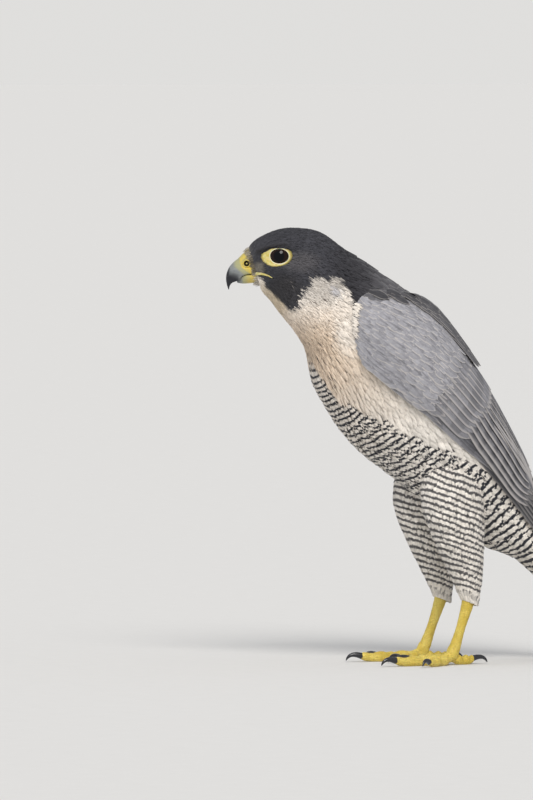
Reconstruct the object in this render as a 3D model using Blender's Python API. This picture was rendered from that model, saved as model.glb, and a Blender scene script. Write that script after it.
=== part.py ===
"""A peregrine falcon, life size, standing with its body leaning forward and its head turned to its right.

Lengths in the tables below are millimetres. The plan frame has three axes: forward (towards the
breast), left and up, and its zero is the middle between the eyes before the head is turned.
place() carries a plan point to the scene: metres, the breast towards -Y, the bird's left towards +X,
the floor at z = 0 and the middle of the bird's box over the origin.
"""

import math

import bmesh
import bpy
import numpy as np
from mathutils import Vector
from mathutils.bvhtree import BVHTree

MM = 0.001
GAP = 0.3
SIDES = ((1, "left"), (-1, "right"))
SHARP_ANGLE = math.radians(40.0)

# Stance
EYE_HEIGHT = 296.0
FLOOR = -EYE_HEIGHT
PLAN_MIDDLE_FORWARD = -110.9
PLAN_MIDDLE_LEFT = 0.0
HEAD_TURN = math.radians(-22.0)
TURN_PIVOT_FORWARD = -45.0

# The body from the forehead to the tail coverts. Each section is a closed ring through a point on
# the back line and a point on the throat and belly line, both (forward, up), with a half width,
# how much narrower it is on top (egg) and the share of the head's turn that it takes.
BODY_SECTIONS = (
    # back line        belly line        half width  egg   turn
    ((25.0, 4.0), (15.5, -19.8), 8.9, 0.05, 1.0),
    ((17.5, 11.8), (13.6, -25.5), 13.4, 0.02, 1.0),
    ((2.0, 18.8), (7.0, -33.0), 19.0, 0.0, 1.0),
    ((-14.0, 19.8), (0.0, -42.5), 22.4, 0.02, 1.0),
    ((-31.0, 16.4), (-9.5, -54.0), 27.0, 0.04, 0.85),
    ((-51.0, 5.5), (-19.5, -70.0), 35.5, 0.06, 0.50),
    ((-74.0, -9.5), (-31.0, -90.0), 44.5, 0.02, 0.15),
    ((-100.0, -30.5), (-46.0, -113.0), 48.5, 0.0, 0.0),
    ((-128.0, -61.0), (-67.0, -139.0), 48.5, 0.0, 0.0),
    ((-153.0, -96.0), (-92.0, -164.0), 44.0, 0.0, 0.0),
    ((-176.0, -134.0), (-122.0, -190.0), 36.0, 0.0, 0.0),
    ((-196.0, -170.0), (-153.0, -211.0), 25.0, 0.0, 0.0),
    ((-205.7, -197.7), (-178.9, -220.2), 20.0, 0.0, 0.0),
    ((-212.9, -225.6), (-200.1, -236.3), 17.0, 0.0, 0.0),
    ((-222.1, -243.0), (-216.8, -247.5), 10.0, 0.0, 0.0),
)
NECK_STARTS = 4.0
TORSO_STARTS = 6.0
TAIL_STARTS = 11.0
BODY_ENDS = 14.0
RING_POINTS = 26
RINGS_BETWEEN = 2

# The torso's own axes, in which wings and tail are laid out: along runs from the shoulders to the
# tail, left is the bird's left and out is away from the belly.
SHOULDER = (-61.0, -58.0)
BODY_PITCH = math.radians(50.0)

# Bill. Each section has its point on the ridge, its point between the lips, a half width and how
# far the floor between the lips is hollowed, as a share of the section's height.
CERE_SECTIONS = (
    ((25.4, 3.4), (18.6, -12.9), 8.8, 0.04),
    ((28.2, 0.6), (22.6, -13.2), 8.5, 0.06),
    ((31.0, -2.2), (25.8, -13.9), 7.8, 0.08),
)
HORN_SECTIONS = (
    ((31.25, -2.45), (26.1, -14.05), 7.4, 0.08),
    ((34.3, -5.4), (28.2, -15.2), 6.6, 0.08),
    ((36.6, -8.6), (30.0, -17.8), 5.5, 0.14),
    ((38.2, -12.6), (32.0, -18.4), 4.2, 0.12),
    ((38.7, -17.0), (34.6, -19.6), 2.7, 0.05),
    ((38.1, -20.8), (36.0, -21.8), 1.5, 0.0),
    ((37.0, -24.0), (36.5, -24.1), 0.5, 0.0),
)
LOWER_BILL_SECTIONS = (
    ((16.3, -19.4), (18.7, -13.3), 7.6, -0.12),
    ((21.6, -19.9), (22.8, -13.7), 7.0, -0.12),
    ((26.2, -20.2), (26.0, -14.4), 5.6, -0.12),
    ((29.2, -19.9), (27.9, -15.7), 3.6, -0.12),
    ((31.2, -19.4), (29.6, -18.2), 1.3, 0.0),
)
LIP_ANGLE = math.radians(125.0)
BILL_POINTS = 16
NOSTRIL = (24.6, 7.6, -5.6)
NOSTRIL_RADIUS = 1.7
NOSTRIL_DEPTH = 2.4
TUBERCLE_RADII = (0.9, 0.45)

# Eyes. LID_WIDTHS runs round the eye from the bill side over the top.
EYE_CENTRE = (0.0, 11.5, 0.0)
EYE_RADIUS = 9.0
EYE_LOOKS_FORWARD = math.radians(9.0)
LID_OPENING = (6.15, 5.5)
LID_WIDTHS = (6.2, 4.2, 3.5, 3.4, 2.8, 2.4, 3.0, 4.8)
LID_THICKNESS = 1.0
GAPE = ((17.9, -13.1), (14.0, -13.0), (9.5, -14.1), (6.0, -15.8))
LIP_RADII = (1.0, 1.1, 1.1, 1.0, 0.6)

# Wings. Three curves run along the folded left wing: its upper edge on the back, its middle and
# its lower edge. Each is a row of (along, left, out) points, one for every station.
WING_UPPER = (
    (-14, 33, 33), (0, 30, 42), (25, 22, 49.5), (75, 12, 50.5),
    (125, 6, 44), (187, 4, 31), (290, 3.5, 9.5),
)
WING_MIDDLE = (
    (-36, 45, 2), (-14, 54, 9), (25, 57, 19), (75, 53, 24),
    (125, 44, 25), (187, 27, 22), (290, 9, 10.5),
)
WING_LOWER = (
    (-4, 43, -29), (8, 50, -28), (35, 55, -21), (80, 53, -12),
    (128, 45, -3), (188, 32, 6), (290, 15, 9),
)
# The wing's body: at each station its outer face lies this deep, so that every tier of vanes is
# half sunk in it, it is this thick and stays this share off the edges.
CORE_SECTIONS = (
    # station, sink, thickness, edge
    (0.0, 3.0, 8.0, 0.22), (0.12, 1.2, 13.0, 0.10), (0.4, 0.3, 16.0, 0.04), (1.0, 0.0, 16.0, 0.0),
    (1.6, 0.0, 16.0, 0.0), (2.2, 0.3, 15.0, 0.0), (2.8, 0.7, 13.0, 0.0), (3.2, 1.2, 12.0, 0.0),
    (3.6, 1.7, 10.0, 0.0), (4.1, 2.3, 8.0, 0.0), (4.6, 2.5, 5.0, 0.02), (4.95, 3.1, 3.0, 0.06),
    (5.25, 3.5, 1.6, 0.12),
)
CORE_ACROSS = 6
LOWER_EDGE_DROP = 4.5
TIER_DROP = 0.85
VANE_THICKNESS = 1.0
VANE_STATIONS = 5
NARROW_VANE = 15.0
# Tiers of vanes: name, count, tier, then for the upper and for the lower end of the row the
# (station, share across) of root and of tip, and the width.
TIERS = (
    ("primary", 7, 3, (3.3, 0.42), (5.13, 0.20), 19.0, (3.0, 0.93), (5.96, 0.90), 14.0),
    ("secondary", 6, 2, (2.6, 0.10), (4.45, 0.10), 30.0, (2.8, 0.72), (4.85, 0.76), 26.0),
    ("primary_covert", 2, 2, (2.4, 0.86), (3.80, 0.87), 12.0, (1.8, 0.98), (4.05, 0.97), 9.0),
    ("greater_covert", 5, 1, (1.9, 0.14), (3.30, 0.12), 25.0, (2.0, 0.82), (3.45, 0.84), 21.0),
    ("alula", 2, 1, (1.3, 0.92), (2.75, 0.93), 10.0, (1.0, 0.99), (2.90, 0.99), 9.0),
    ("scapular", 3, 0, (1.4, 0.14), (2.9, 0.20), 30.0, (2.6, 0.0), (4.1, 0.06), 26.0),
)
PRIMARY_TIPS = (5.13, 5.30, 5.47, 5.64, 5.81, 5.98, 5.95)

# Tail: on each side feathers from the middle outwards, each one under the one before it. Points
# are (along, left, out), and the steps are from one feather to the next.
TAIL_FEATHERS = 6
TAIL_ROOT = (176.0, 2.6, 3.5)
TAIL_TIP = (301.0, 6.5, 0.0)
TAIL_ROOT_STEP = (0.0, 1.7, -0.7)
TAIL_TIP_STEP = (-1.4, 2.6, -0.7)
RIGHT_TAIL_SINK = 0.35
TAIL_WIDTH = 20.0

# Legs, left side: thigh sections (forward, left, up, half across, half fore and aft), then the
# shank's line and the toes.
THIGH_SECTIONS = (
    (-126, 20, -140, 10, 12), (-121, 24, -163, 16.5, 23), (-120, 26.5, -188, 18, 25),
    (-124, 27, -211, 15, 20), (-129.5, 26, -232, 11, 13.5), (-132.5, 25.5, -246, 7.5, 8.5),
)
THIGH_POINTS = 14
SHANK_LINE = ((-133, 25.5, -246.3), (-132, 25.6, -252), (-126, 26.4, -270), (-120.5, 27.3, -285.5))
SHANK_RADII = (5.2, 4.4, 3.3, 4.2)
TOE_JOINT = (-118.0, 27.6, FLOOR + 6.0)
TOES = (
    # name, heading (outward positive), length to the claw, radius, claw length
    ("middle", 6.0, 46.0, 3.7, 14.5), ("inner", -34.0, 31.0, 3.6, 16.0),
    ("outer", 40.0, 35.0, 3.2, 12.5), ("hind", 190.0, 19.0, 3.5, 16.0),
)
TOE_BUMPS = (1.15, 0.90, 1.10, 0.86, 1.05, 0.84, 0.88)
TOE_END_LIFT = 1.2
TOE_POINTS = 8
FLAT_DEPTH = 0.35
CLAW_TIP_CLEARANCE = 1.0


def smooth(low, high, value):
    """0 below low, 1 above high and an even slope between."""
    share = np.clip((np.asarray(value, float) - low) / (high - low), 0.0, 1.0)
    return share * share * (3.0 - 2.0 * share)


def through(rows, at):
    """Rows of numbers read as a smooth curve: row 0 at 0, row 1 at 1, and so on."""
    rows = np.asarray(rows, float)
    at = np.asarray(at, float)
    step = np.clip(at.astype(int), 0, len(rows) - 2)
    share = (at - step)[..., None]
    slopes = np.gradient(rows, axis=0)
    a, b, u, v = rows[step], rows[step + 1], slopes[step], slopes[step + 1]
    return (
        a * (2 * share**3 - 3 * share**2 + 1)
        + u * (share**3 - 2 * share**2 + share)
        + b * (3 * share**2 - 2 * share**3)
        + v * (share**3 - share**2)
    )


def turned(points, share=1.0):
    """Plan points carried round by this share of the head's turn."""
    points = np.array(points, float)
    angle = HEAD_TURN * share
    forward = points[..., 0] - TURN_PIVOT_FORWARD
    left = points[..., 1].copy()
    points[..., 0] = TURN_PIVOT_FORWARD + forward * math.cos(angle) - left * math.sin(angle)
    points[..., 1] = forward * math.sin(angle) + left * math.cos(angle)
    return points


def head_left(side):
    """A step to the head's own left for side 1, to its right for side -1, in plan axes."""
    return turned(np.array((0.0, side, 0.0))) - turned(np.zeros(3))


def place(points):
    """Plan points, in millimetres, as scene points in metres."""
    points = np.asarray(points, float)
    x = points[..., 1] - PLAN_MIDDLE_LEFT
    y = PLAN_MIDDLE_FORWARD - points[..., 0]
    z = points[..., 2] + EYE_HEIGHT
    return np.stack([x, y, z], axis=-1) * MM


def from_torso(points):
    """(along, left, out) points of the torso's axes as plan points."""
    points = np.asarray(points, float)
    along, left, out = points[..., 0], points[..., 1], points[..., 2]
    forward = SHOULDER[0] - along * math.cos(BODY_PITCH) - out * math.sin(BODY_PITCH)
    up = SHOULDER[1] - along * math.sin(BODY_PITCH) + out * math.cos(BODY_PITCH)
    return np.stack([forward, left, up], axis=-1)


def on_side(torso_points, side):
    """Torso points of the left side as plan points of either side."""
    return from_torso(np.asarray(torso_points, float) * (1, side, 1))


def material(name, colour, roughness):
    made = bpy.data.materials.new(name)
    made.use_nodes = True
    shader = made.node_tree.nodes["Principled BSDF"]
    shader.inputs["Base Color"].default_value = (*colour, 1.0)
    shader.inputs["Roughness"].default_value = roughness
    return made


def build_finishes():
    return {
        "slate": material("slate_feather", (0.045, 0.05, 0.06), 0.7),
        "pale": material("pale_feather", (0.72, 0.62, 0.54), 0.8),
        "grey": material("grey_feather", (0.12, 0.13, 0.15), 0.7),
        "bare": material("yellow_skin", (0.80, 0.62, 0.08), 0.5),
        "horn": material("horn", (0.08, 0.10, 0.12), 0.35),
        "eye": material("eye", (0.01, 0.006, 0.004), 0.05),
        "claw": material("claw", (0.015, 0.015, 0.017), 0.3),
    }


def mesh_object(name, plan_points, faces, finish, collection):
    """An object made of plan points, with its origin at their middle."""
    points = place(plan_points)
    origin = points.mean(axis=0)
    mesh = bpy.data.meshes.new(name)
    mesh.from_pydata([tuple(p) for p in points - origin], [], [tuple(f) for f in faces])
    edit = bmesh.new()
    edit.from_mesh(mesh)
    bmesh.ops.recalc_face_normals(edit, faces=edit.faces)
    edit.to_mesh(mesh)
    edit.free()
    mesh.materials.append(finish)
    made = bpy.data.objects.new(name, mesh)
    made.location = origin
    collection.objects.link(made)
    return made


def ring(back, belly, half_width, egg, count=RING_POINTS):
    """Plan points round a section, from the back down the left side and up the right."""
    back, belly = np.array(back, float), np.array(belly, float)
    middle, half = (back + belly) / 2, (back - belly) / 2
    angle = np.arange(count) / count * 2 * math.pi
    line = middle + np.cos(angle)[:, None] * half
    across = np.sin(angle) * half_width * (1 - egg * np.cos(angle))
    return np.stack([line[:, 0], across, line[:, 1]], axis=-1)


def loft(rings):
    """Points and triangles of a closed body through rings with the same count of points."""
    rings = [np.asarray(r, float) for r in rings]
    count = len(rings[0])
    points = np.concatenate([*rings, [rings[0].mean(axis=0)], [rings[-1].mean(axis=0)]])
    first_end, last_end = len(points) - 2, len(points) - 1
    faces = []
    for r in range(len(rings) - 1):
        for k in range(count):
            a, b = r * count + k, r * count + (k + 1) % count
            faces += [(a, b, b + count), (a, b + count, a + count)]
    last = (len(rings) - 1) * count
    for k in range(count):
        following = (k + 1) % count
        faces += [(first_end, following, k), (last_end, last + k, last + following)]
    return points, faces


def lofted(name, rings, finish, collection):
    return mesh_object(name, *loft(rings), finish, collection)


def tube(name, path, radii, finish, collection, sides=10):
    """A round body along plan points whose radius changes from point to point."""
    path = np.asarray(path, float)
    ways = np.gradient(path, axis=0)
    ways /= np.linalg.norm(ways, axis=1)[:, None]
    across = np.cross(ways[0], (0.0, 0.0, 1.0))
    if np.linalg.norm(across) < 0.1:
        across = np.cross(ways[0], (0.0, 1.0, 0.0))
    angle = np.arange(sides) / sides * 2 * math.pi
    rings = []
    for point, way, radius in zip(path, ways, radii):
        across = across - way * (across @ way)
        across /= np.linalg.norm(across)
        around = np.cos(angle)[:, None] * across + np.sin(angle)[:, None] * np.cross(way, across)
        rings.append(point + radius * around)
    return lofted(name, rings, finish, collection)


def ball(name, centre, radius, finish, collection, segments=18, rings=10):
    """A sphere round a plan point, with its poles to the bird's left and right."""
    mesh = bpy.data.meshes.new(name)
    edit = bmesh.new()
    bmesh.ops.create_uvsphere(edit, u_segments=segments, v_segments=rings, radius=radius * MM)
    bmesh.ops.triangulate(edit, faces=edit.faces)
    edit.to_mesh(mesh)
    edit.free()
    mesh.materials.append(finish)
    made = bpy.data.objects.new(name, mesh)
    made.location = Vector(place(centre))
    made.rotation_euler = (0.0, math.pi / 2, 0.0)
    collection.objects.link(made)
    return made


def keep_largest_surface(mesh):
    """Takes every closed surface but the one with the largest area out of a mesh."""
    edit = bmesh.new()
    edit.from_mesh(mesh)
    unseen = set(edit.faces)
    surfaces = []
    while unseen:
        surface, waiting = [], [unseen.pop()]
        while waiting:
            face = waiting.pop()
            surface.append(face)
            for edge in face.edges:
                for neighbour in edge.link_faces:
                    if neighbour in unseen:
                        unseen.remove(neighbour)
                        waiting.append(neighbour)
        surfaces.append(surface)
    surfaces.sort(key=lambda surface: sum(face.calc_area() for face in surface))
    loose = [face for surface in surfaces[:-1] for face in surface]
    bmesh.ops.delete(edit, geom=loose, context="FACES")
    edit.to_mesh(mesh)
    edit.free()


def combined(base, pieces, operation, collection):
    """Base joined with the pieces or cut by them, as one closed surface. The pieces are used up."""
    tools = bpy.data.collections.new(base.name + "_tools")
    collection.children.link(tools)
    for piece in pieces:
        collection.objects.unlink(piece)
        tools.objects.link(piece)
    boolean = base.modifiers.new(operation.lower(), "BOOLEAN")
    boolean.operation = operation
    boolean.operand_type = "COLLECTION"
    boolean.collection = tools
    boolean.solver = "EXACT"
    graph = bpy.context.evaluated_depsgraph_get()
    mesh = bpy.data.meshes.new_from_object(base.evaluated_get(graph))
    base.modifiers.clear()
    base.data = mesh
    keep_largest_surface(mesh)
    for piece in pieces:
        bpy.data.objects.remove(piece)
    bpy.data.collections.remove(tools)
    return base


def plate(name, top, bottom, finish, collection):
    """A closed thin plate between two grids of plan points, cut into triangles alike on both."""
    rows, columns = top.shape[:2]
    under = rows * columns
    points = np.concatenate([top.reshape(-1, 3), bottom.reshape(-1, 3)])
    quads = []
    for r in range(rows - 1):
        for c in range(columns - 1):
            a, b = r * columns + c, r * columns + c + 1
            d, e = a + columns, b + columns
            quads += [(a, b, e, d), (under + a, under + d, under + e, under + b)]
    edge = [r * columns for r in range(rows)]
    edge += [(rows - 1) * columns + c for c in range(1, columns)]
    edge += [r * columns + columns - 1 for r in range(rows - 2, -1, -1)]
    edge += list(range(columns - 2, 0, -1))
    for here, following in zip(edge, edge[1:] + edge[:1]):
        quads.append((here, following, following + under, here + under))
    faces = []
    for k, (a, b, c, d) in enumerate(quads):
        mirrored = k % 2 and k < 2 * (rows - 1) * (columns - 1)
        faces += [(a, b, d), (b, c, d)] if mirrored else [(a, b, c), (a, c, d)]
    return mesh_object(name, points, faces, finish, collection)


def section_at(at):
    """Back point, belly point, half width, egg and turn at a place along BODY_SECTIONS."""
    rows = [(*back, *belly, wide, egg, turn) for back, belly, wide, egg, turn in BODY_SECTIONS]
    back_f, back_u, belly_f, belly_u, wide, egg, turn = through(rows, at)
    return np.array([back_f, back_u]), np.array([belly_f, belly_u]), wide, egg, turn


def body_ring(at, grow=0.0):
    """The body's section at a place along BODY_SECTIONS, in plan points."""
    back, belly, wide, egg, turn = section_at(at)
    outward = (back - belly) / np.linalg.norm(back - belly) * grow
    return turned(ring(back + outward, belly - outward, wide + grow, egg), turn)


def ahead_of(section, following):
    """The direction square to a flat section, away from the one that follows it."""
    ahead = np.cross(section[6] - section[0], section[13] - section[0])
    ahead *= np.sign(ahead @ (section.mean(axis=0) - following.mean(axis=0)))
    return ahead / np.linalg.norm(ahead)


def body_rings(start, end, grow=0.0, gap_at_start=0.0):
    """Sections from start to end. The first one is moved on by gap_at_start millimetres."""
    count = max(2, round((end - start) * RINGS_BETWEEN) + 1)
    rings = [body_ring(at, grow) for at in np.linspace(start, end, count)]
    rings[0] = rings[0] - ahead_of(rings[0], rings[1]) * gap_at_start
    return rings


def eye_axes(side):
    """The eye's centre, the way it looks, and its forward and up directions, for side 1 or -1."""
    centre = turned(np.array(EYE_CENTRE) * (1, side, 1))
    sine, cosine = math.sin(EYE_LOOKS_FORWARD), math.cos(EYE_LOOKS_FORWARD)
    pivot = turned(np.zeros(3))
    look = turned(np.array((sine, side * cosine, 0.0))) - pivot
    forward = turned(np.array((cosine, -side * sine, 0.0))) - pivot
    return centre, look, forward, np.array((0.0, 0.0, 1.0))


def head_surface():
    """The head's skin as a tree that rays can be cast at, in plan points."""
    points, faces = loft([body_ring(at) for at in np.linspace(0.0, NECK_STARTS, 17)])
    return BVHTree.FromPolygons([tuple(p) for p in points], faces)


def onto(tree, point, outward):
    """The place on a surface that lies under a point when seen against the outward direction."""
    start = np.asarray(point) + np.asarray(outward) * 60.0
    return np.array(tree.ray_cast(Vector(start), Vector(-np.asarray(outward)))[0])


def lids(side, tree, finish, collection, count=16):
    """The ring of bare skin and lids that frames an eye: widest towards the bill."""
    centre, look, forward, up = eye_axes(side)
    angle = np.arange(count) / count * 2 * math.pi
    rows = [[width] for width in (*LID_WIDTHS, LID_WIDTHS[0])]
    widths = through(rows, angle / (2 * math.pi) * len(LID_WIDTHS))[:, 0]
    ways = np.cos(angle)[:, None] * forward + np.sin(angle)[:, None] * up
    opening = 1 / np.hypot(np.cos(angle) / LID_OPENING[0], np.sin(angle) / LID_OPENING[1])
    points = []
    for outward, near, wide in zip(ways, opening, widths):
        level = math.sqrt(EYE_RADIUS**2 - near**2)
        inner = centre + outward * near + look * (level + GAP * 0.9)
        slope = onto(tree, centre + outward * (near + 0.6 * wide), look)
        edge = onto(tree, centre + outward * (near + wide), look)
        points += [
            inner - look * 2.0 - outward * 0.9,
            inner + look * 0.5,
            inner + outward * (0.3 + 0.15 * wide) + look * LID_THICKNESS,
            (slope + inner + outward * 0.6 * wide) / 2 + look * 0.6 * LID_THICKNESS,
            edge - look * 1.5 + outward * 0.6,
        ]
    size = len(points) // count
    faces = []
    for r in range(count):
        for k in range(size):
            a, b = r * size + k, r * size + (k + 1) % size
            d, c = (a + size) % len(points), (b + size) % len(points)
            faces += [(a, b, c), (a, c, d)]
    return mesh_object("lids", np.array(points), faces, finish, collection)


def mouth_way(side, tree):
    """The line of the mouth from the bill to its corner, on the head's surface."""
    line = through(GAPE, np.linspace(0, len(GAPE) - 1, len(LIP_RADII)))
    middle = turned(np.stack([line[:, 0], np.zeros(len(line)), line[:, 1]], axis=-1))
    return np.array([onto(tree, point, head_left(side)) for point in middle])


def build_head(parts, finishes):
    slate, bare = finishes["slate"], finishes["bare"]
    head = lofted("head", body_rings(0.0, NECK_STARTS), slate, parts)
    front = body_ring(0.0)
    wide = front.mean(axis=0) + (front - front.mean(axis=0)) * 3.0
    ahead = ahead_of(front, body_ring(1.0))
    tree = head_surface()
    additions, cutters = [], [lofted("front", [wide, wide + ahead * 8.0], slate, parts)]
    for side, _ in SIDES:
        additions.append(lids(side, tree, bare, parts))
        way = mouth_way(side, tree)
        for step in (0.85, -0.85):
            lip = way + np.array((0.0, 0.0, step)) - head_left(side) * 0.3
            additions.append(tube("lip", lip, LIP_RADII, bare, parts, 6))
        cutters.append(ball("socket", eye_axes(side)[0], EYE_RADIUS + GAP, slate, parts))
        slit = way + head_left(side) * 0.6
        cutters.append(tube("mouth_line", slit, [0.45] * len(way), slate, parts, 6))
    combined(head, additions, "UNION", parts)
    combined(head, cutters, "DIFFERENCE", parts)


def bill_ring(ridge, lip, half_width, hollow):
    """Plan points of an arch from its ridge to its two lips, with a floor that is hollow or swollen."""
    ridge, lip = np.array(ridge, float), np.array(lip, float)
    angle = np.arange(BILL_POINTS) / BILL_POINTS * 2 * math.pi
    turn = np.minimum(angle, 2 * math.pi - angle)
    side = np.clip(turn / LIP_ANGLE, 0.0, 1.0)
    floor = np.clip((turn - LIP_ANGLE) / (math.pi - LIP_ANGLE), 0.0, 1.0)
    fall = (1 - np.cos(side * math.pi)) / 2
    line = ridge + (lip - ridge) * (fall - hollow * np.sin(floor * math.pi / 2))[:, None]
    wide = half_width * np.sin(side * math.pi * 0.72) ** 0.9 * (1 - floor)
    across = np.where(angle <= math.pi, wide, -wide)
    return turned(np.stack([line[:, 0], across, line[:, 1]], axis=-1))


def bill_piece(name, sections, finish, collection):
    return lofted(name, [bill_ring(*section) for section in sections], finish, collection)


def build_bill(parts, finishes):
    bare, horn = finishes["bare"], finishes["horn"]
    cere = bill_piece("cere", CERE_SECTIONS, bare, parts)
    bill_piece("upper_bill", HORN_SECTIONS, horn, parts)
    bill_piece("lower_bill", LOWER_BILL_SECTIONS, horn, parts)
    holes, tubercles = [], []
    for side, _ in SIDES:
        mouth = turned(np.array(NOSTRIL) * (1, side, 1))
        outward = head_left(side)
        hole = [mouth + outward * 3.0, mouth - outward * NOSTRIL_DEPTH]
        holes.append(tube("nostril", hole, [NOSTRIL_RADIUS] * 2, horn, parts))
        peg = [mouth - outward * (NOSTRIL_DEPTH + 1.0), mouth - outward * 0.4]
        tubercles.append(tube("tubercle", peg, TUBERCLE_RADII, bare, parts, 6))
    combined(cere, holes, "DIFFERENCE", parts)
    combined(cere, tubercles, "UNION", parts)


def build_eyes(parts, finishes):
    for side, word in SIDES:
        ball(word + "_eye", eye_axes(side)[0], EYE_RADIUS, finishes["eye"], parts)


def build_body(parts, finishes):
    pale = finishes["pale"]
    lofted("neck", body_rings(NECK_STARTS, TORSO_STARTS, gap_at_start=GAP), pale, parts)
    lofted("torso", body_rings(TORSO_STARTS, TAIL_STARTS, gap_at_start=GAP), pale, parts)


def wing_face(at, across):
    """Torso points on the left wing's outer face: station, share from upper to lower edge."""
    upper, middle, lower = (through(row, at) for row in (WING_UPPER, WING_MIDDLE, WING_LOWER))
    share = across[..., None]
    bend = upper - 2 * middle + lower
    return upper + (middle - upper) * 2 * share + bend * share * (2 * share - 1)


def wing_point(at, across, depth):
    """Torso points this deep under the left wing's outer face."""
    at, across, depth = np.broadcast_arrays(*(np.asarray(v, float) for v in (at, across, depth)))
    step = 0.02
    along = wing_face(at + step, across) - wing_face(at - step, across)
    down = wing_face(at, across + step) - wing_face(at, across - step)
    outward = np.cross(along, down)
    outward /= np.linalg.norm(outward, axis=-1)[..., None]
    return wing_face(at, across) - outward * depth[..., None]


def wing_core(name, side, finish, collection):
    """The wing without its feathers: a thick blade that follows the outer face."""
    rings = []
    bulge = np.sqrt(np.sin(np.linspace(0.04, math.pi - 0.04, CORE_ACROSS + 1)))
    for at, sink, thick, edge in CORE_SECTIONS:
        across = np.linspace(edge, 1.0 - edge, CORE_ACROSS + 1)
        depth = sink + LOWER_EDGE_DROP * across
        outer = wing_point(at, across, depth)
        inner = wing_point(at, across, depth + thick * bulge)
        rings.append(on_side(np.concatenate([outer, inner[::-1]]), side))
    return lofted(name, rings, finish, collection)


def vane_width(share):
    """A vane's width from root (0) to tip (1), as a share of its full width."""
    tip = np.clip((share - 0.72) / 0.28, 0.0, 1.0)
    return 0.55 + 0.45 * smooth(0.0, 0.4, share) - 0.92 * tip**2.2


def wing_vane(side, root, tip, width, tier, finish, collection):
    """One vane on the wing. Its root is sunk, its tip is free."""
    share = np.linspace(0.0, 1.0, VANE_STATIONS) ** 0.85
    at, across = (root[k] + (tip[k] - root[k]) * share for k in (0, 1))
    sink = TIER_DROP * tier + LOWER_EDGE_DROP * across + 1.2 * (1 - smooth(0.0, 0.3, share))
    middle = wing_point(at, across, sink)
    way = np.gradient(middle, axis=0)
    sideways = wing_point(at, across + 0.05, sink + LOWER_EDGE_DROP * 0.05) - middle
    sideways -= way * (np.sum(sideways * way, axis=1) / np.sum(way * way, axis=1))[:, None]
    sideways /= np.linalg.norm(sideways, axis=1)[:, None]
    inward = wing_point(at, across, sink + 1.0) - middle
    reach = sideways * (width * 0.5 * vane_width(share))[:, None]
    grids = []
    for depth in (0.0, VANE_THICKNESS):
        columns = [middle + step * reach + inward * (depth + 0.15) for step in (-1, 1)]
        if width > NARROW_VANE:
            columns.insert(1, middle + inward * (depth - 0.2))
        grids.append(on_side(np.stack(columns, axis=1), side))
    return plate("vane", *grids, finish, collection)


def tier_vanes(side, finish, collection):
    """Every vane of one wing."""
    made = []
    for word, count, tier, root, tip, width, last_root, last_tip, last_width in TIERS:
        for k in range(count):
            share = k / (count - 1)
            here_root = np.array(root) * (1 - share) + np.array(last_root) * share
            here_tip = np.array(tip) * (1 - share) + np.array(last_tip) * share
            if word == "primary":
                here_tip[0] = PRIMARY_TIPS[k]
            here_width = width * (1 - share) + last_width * share
            made.append(wing_vane(side, here_root, here_tip, here_width, tier, finish, collection))
    return made


def build_wings(parts, finishes):
    grey = finishes["grey"]
    for side, word in SIDES:
        wing = wing_core(word + "_wing", side, grey, parts)
        combined(wing, tier_vanes(side, grey, parts), "UNION", parts)
        cutters = [
            lofted("body_cutter", body_rings(3.0, BODY_ENDS, GAP), grey, parts),
            lofted("thigh_cutter", thigh_rings(side, GAP), grey, parts),
        ]
        combined(wing, cutters, "DIFFERENCE", parts)


def tail_vane(side, k, finish, collection):
    sink = np.array((0.0, 0.0, RIGHT_TAIL_SINK if side < 0 else 0.0))
    root = np.array(TAIL_ROOT) + k * np.array(TAIL_ROOT_STEP) - sink
    tip = np.array(TAIL_TIP) + k * np.array(TAIL_TIP_STEP) - sink
    share = np.linspace(0.0, 1.0, VANE_STATIONS) ** 0.8
    middle = root + (tip - root) * share[:, None]
    end = np.clip((share - 0.86) / 0.14, 0.0, 1.0)
    outline = 0.6 + 0.4 * smooth(0.0, 0.5, share) - 0.8 * end**2
    grids = []
    for depth in (0.0, VANE_THICKNESS):
        down = np.array((0.0, 0.0, -depth))
        reach = np.array((0.0, 0.5 * TAIL_WIDTH, 0.0)) * outline[:, None]
        droop = np.array((0.0, 0.0, -0.35))
        columns = [middle - reach + droop + down, middle + down, middle + reach + droop + down]
        grids.append(on_side(np.stack(columns, axis=1), side))
    return plate("rectrix", *grids, finish, collection)


def build_tail(parts, finishes):
    grey = finishes["grey"]
    tail = lofted("tail", body_rings(TAIL_STARTS, BODY_ENDS, gap_at_start=GAP), grey, parts)
    vanes = [tail_vane(side, k, grey, parts) for side, _ in SIDES for k in range(TAIL_FEATHERS)]
    combined(tail, vanes, "UNION", parts)


def thigh_rings(side, grow):
    angle = np.arange(THIGH_POINTS) / THIGH_POINTS * 2 * math.pi
    ahead, across = np.array((0.94, 0.0, 0.34)), np.array((0.0, 1.0, 0.0))
    rings = []
    for forward, left, up, wide, deep in through(THIGH_SECTIONS, np.linspace(0, 5, 9)):
        around = np.cos(angle)[:, None] * ahead * (deep + grow)
        around = around + np.sin(angle)[:, None] * across * (wide + grow)
        rings.append(np.array((forward, left * side, up)) + around)
    return rings


def toe_path(side, heading, length, radius):
    """Centre points and radii of a toe from the toe joint to the claw, and the way it points."""
    angle = math.radians(heading)
    way = np.array((math.cos(angle), math.sin(angle) * side, 0.0))
    share = np.linspace(0.0, 1.0, len(TOE_BUMPS))
    radii = radius * np.array(TOE_BUMPS)
    joint = np.array(TOE_JOINT) * (1, side, 1)
    path = joint + way * length * share[:, None]
    level = FLOOR + radii - FLAT_DEPTH + TOE_END_LIFT * smooth(0.75, 1.0, share)
    path[:, 2] = level + (joint[2] - level[0]) * (1 - smooth(0.0, 0.35, share))
    return path, radii, way


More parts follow.
